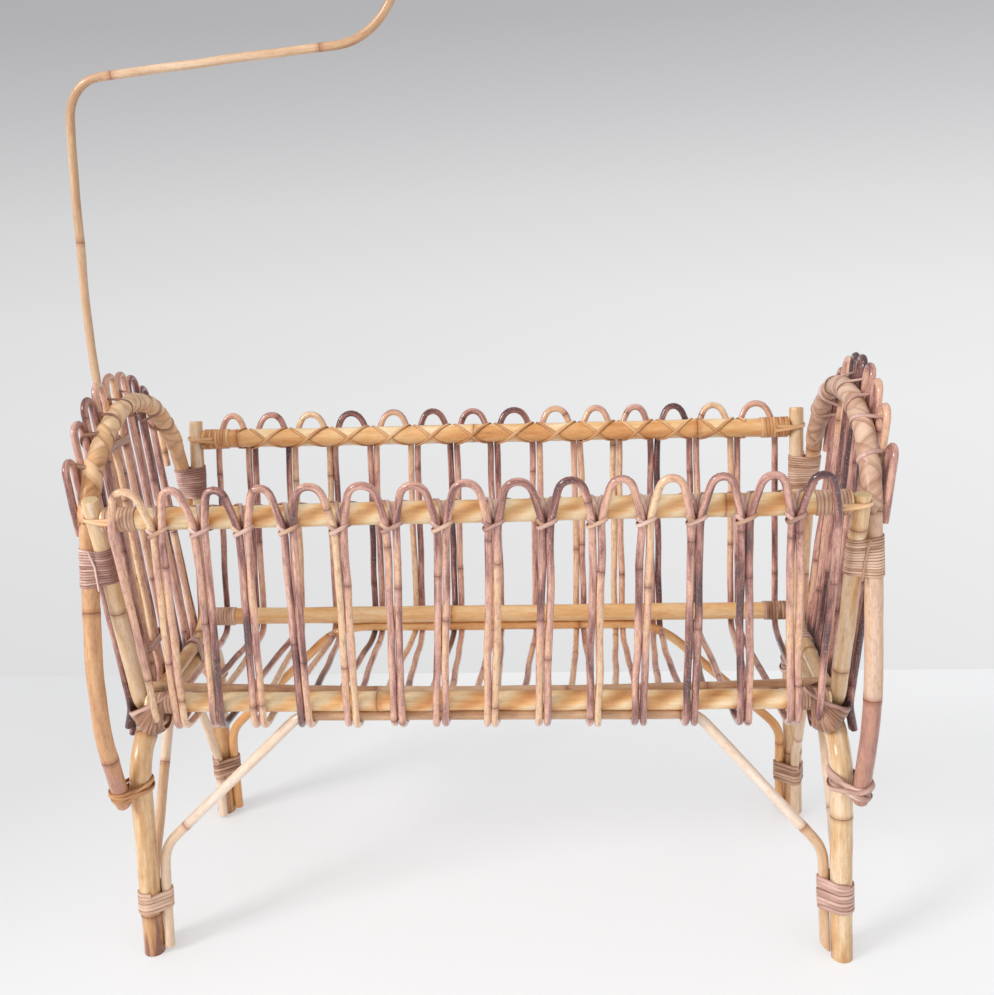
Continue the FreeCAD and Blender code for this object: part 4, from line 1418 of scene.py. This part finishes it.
# Painted shade: the floor's glow is greyer toward the back on the left, and white in front
spot = add(tree, "ShaderNodeTexCoord").outputs["Object"]
across = add(tree, "ShaderNodeVectorMath", {0: spot, 1: (1, -0.6, 0)}, operation="DOT_PRODUCT")
shade_reach = {"Value": across.outputs["Value"], "From Min": -1.44, "From Max": -0.12}
reach = add(tree, "ShaderNodeMapRange", shade_reach)
paint_and_shade_stops = ((0, "#C1C1C1"), (0.33, "#C8C8C8"), (0.67, "#ECECEC"), (1, "#FFFFFF"))
paint_and_shade = add(tree, "ShaderNodeValToRGB", {"Fac": reach.outputs[0]}, stops=paint_and_shade_stops)
white = add(tree, "ShaderNodeEmission", {"Color": paint_and_shade.outputs[0], "Strength": 1.01})
mixed = add(tree, "ShaderNodeMixShader", {0: share.outputs[0], 1: surface.outputs[0], 2: white.outputs[0]})
add(tree, "ShaderNodeOutputMaterial", {0: mixed.outputs[0]})
floor.data.materials.append(pale)

world = bpy.data.worlds.new("studio_room")
bpy.context.scene.world = world
world.use_nodes = True
tree = world.node_tree
tree.nodes.clear()
direction = add(tree, "ShaderNodeTexCoord").outputs["Generated"]
parts = add(tree, "ShaderNodeSeparateXYZ", {0: direction})
rise = add(tree, "ShaderNodeMapRange", {"Value": parts.outputs["Z"], "From Min": -0.5, "From Max": 0.3})
# Painted light and shade on the wall that the camera sees: darker toward the top, palest low down, and
# brighter toward the right
wall_stops = (
    (0, "#DFDFE0"),
    (0.15, "#E4E4E5"),
    (0.36, "#E9E9EA"),
    (0.47, "#E5E5E6"),
    (0.57, "#DADADB"),
    (0.67, "#C6C6C8"),
    (0.75, "#B6B6B8"),
    (1, "#A5A5A8"),
)
wall = add(tree, "ShaderNodeValToRGB", {"Fac": rise.outputs[0]}, stops=wall_stops)
brighter = add(tree, "ShaderNodeMath", {0: parts.outputs["X"], 1: 0.14, 2: 1.01}, operation="MULTIPLY_ADD")
# The room is brightest in front and above, like a wall of windows, and dim from behind
windows = Vector((-0.3, -0.78, 0.55)).normalized()
toward = add(tree, "ShaderNodeVectorMath", {0: direction, 1: windows}, operation="DOT_PRODUCT")
room = add(tree, "ShaderNodeMath", {0: toward.outputs["Value"], 1: 0.52, 2: 0.62}, operation="MULTIPLY_ADD")
fill = add(tree, "ShaderNodeBackground", {"Color": linear("#FCFDFF"), "Strength": room.outputs[0]})
view = add(tree, "ShaderNodeBackground", {"Color": wall.outputs[0], "Strength": brighter.outputs[0]})
mixed = add(tree, "ShaderNodeMixShader", {0: seen_by_eye(tree), 1: fill.outputs[0], 2: view.outputs[0]})
add(tree, "ShaderNodeOutputWorld", {0: mixed.outputs[0]})

key_place = Vector((-8.1, -5.7, 6.45))
key_aim = Vector((0, 0, 0.35))
bpy.ops.object.light_add(type="AREA", location=key_place)
key = bpy.context.object
key.name = "key_window"
key.data.shape = "SQUARE"
key.data.size = 3.0
key.data.energy = 640
key.data.color = linear("#FFFDFB")[:3]
key.rotation_mode = "QUATERNION"
key.rotation_quaternion = (key_aim - key_place).to_track_quat("-Z", "Y")

# The lens and stance of the photograph: standing in front, a little to the right, looking down
yaw, pitch, roll = 0.0721, 0.2981, -0.0392
picture_width = 994
focal_length = 1140.79
ahead = Vector((-sin(yaw) * cos(pitch), cos(yaw) * cos(pitch), -sin(pitch)))
right = Vector((cos(yaw), sin(yaw), 0))
up = right.cross(ahead)
turned_right = right * cos(roll) + up * sin(roll)
turned_up = up * cos(roll) - right * sin(roll)
bpy.ops.object.camera_add(location=(0.1277, -1.4931, 1.0633))
camera = bpy.context.object
camera.rotation_mode = "QUATERNION"
camera.rotation_quaternion = Matrix((turned_right, turned_up, -ahead)).transposed().to_quaternion()
camera.data.sensor_fit = "HORIZONTAL"
camera.data.sensor_width = 36
camera.data.lens = camera.data.sensor_width * focal_length / picture_width
scene = bpy.context.scene
scene.camera = camera
scene.view_settings.view_transform = "Standard"
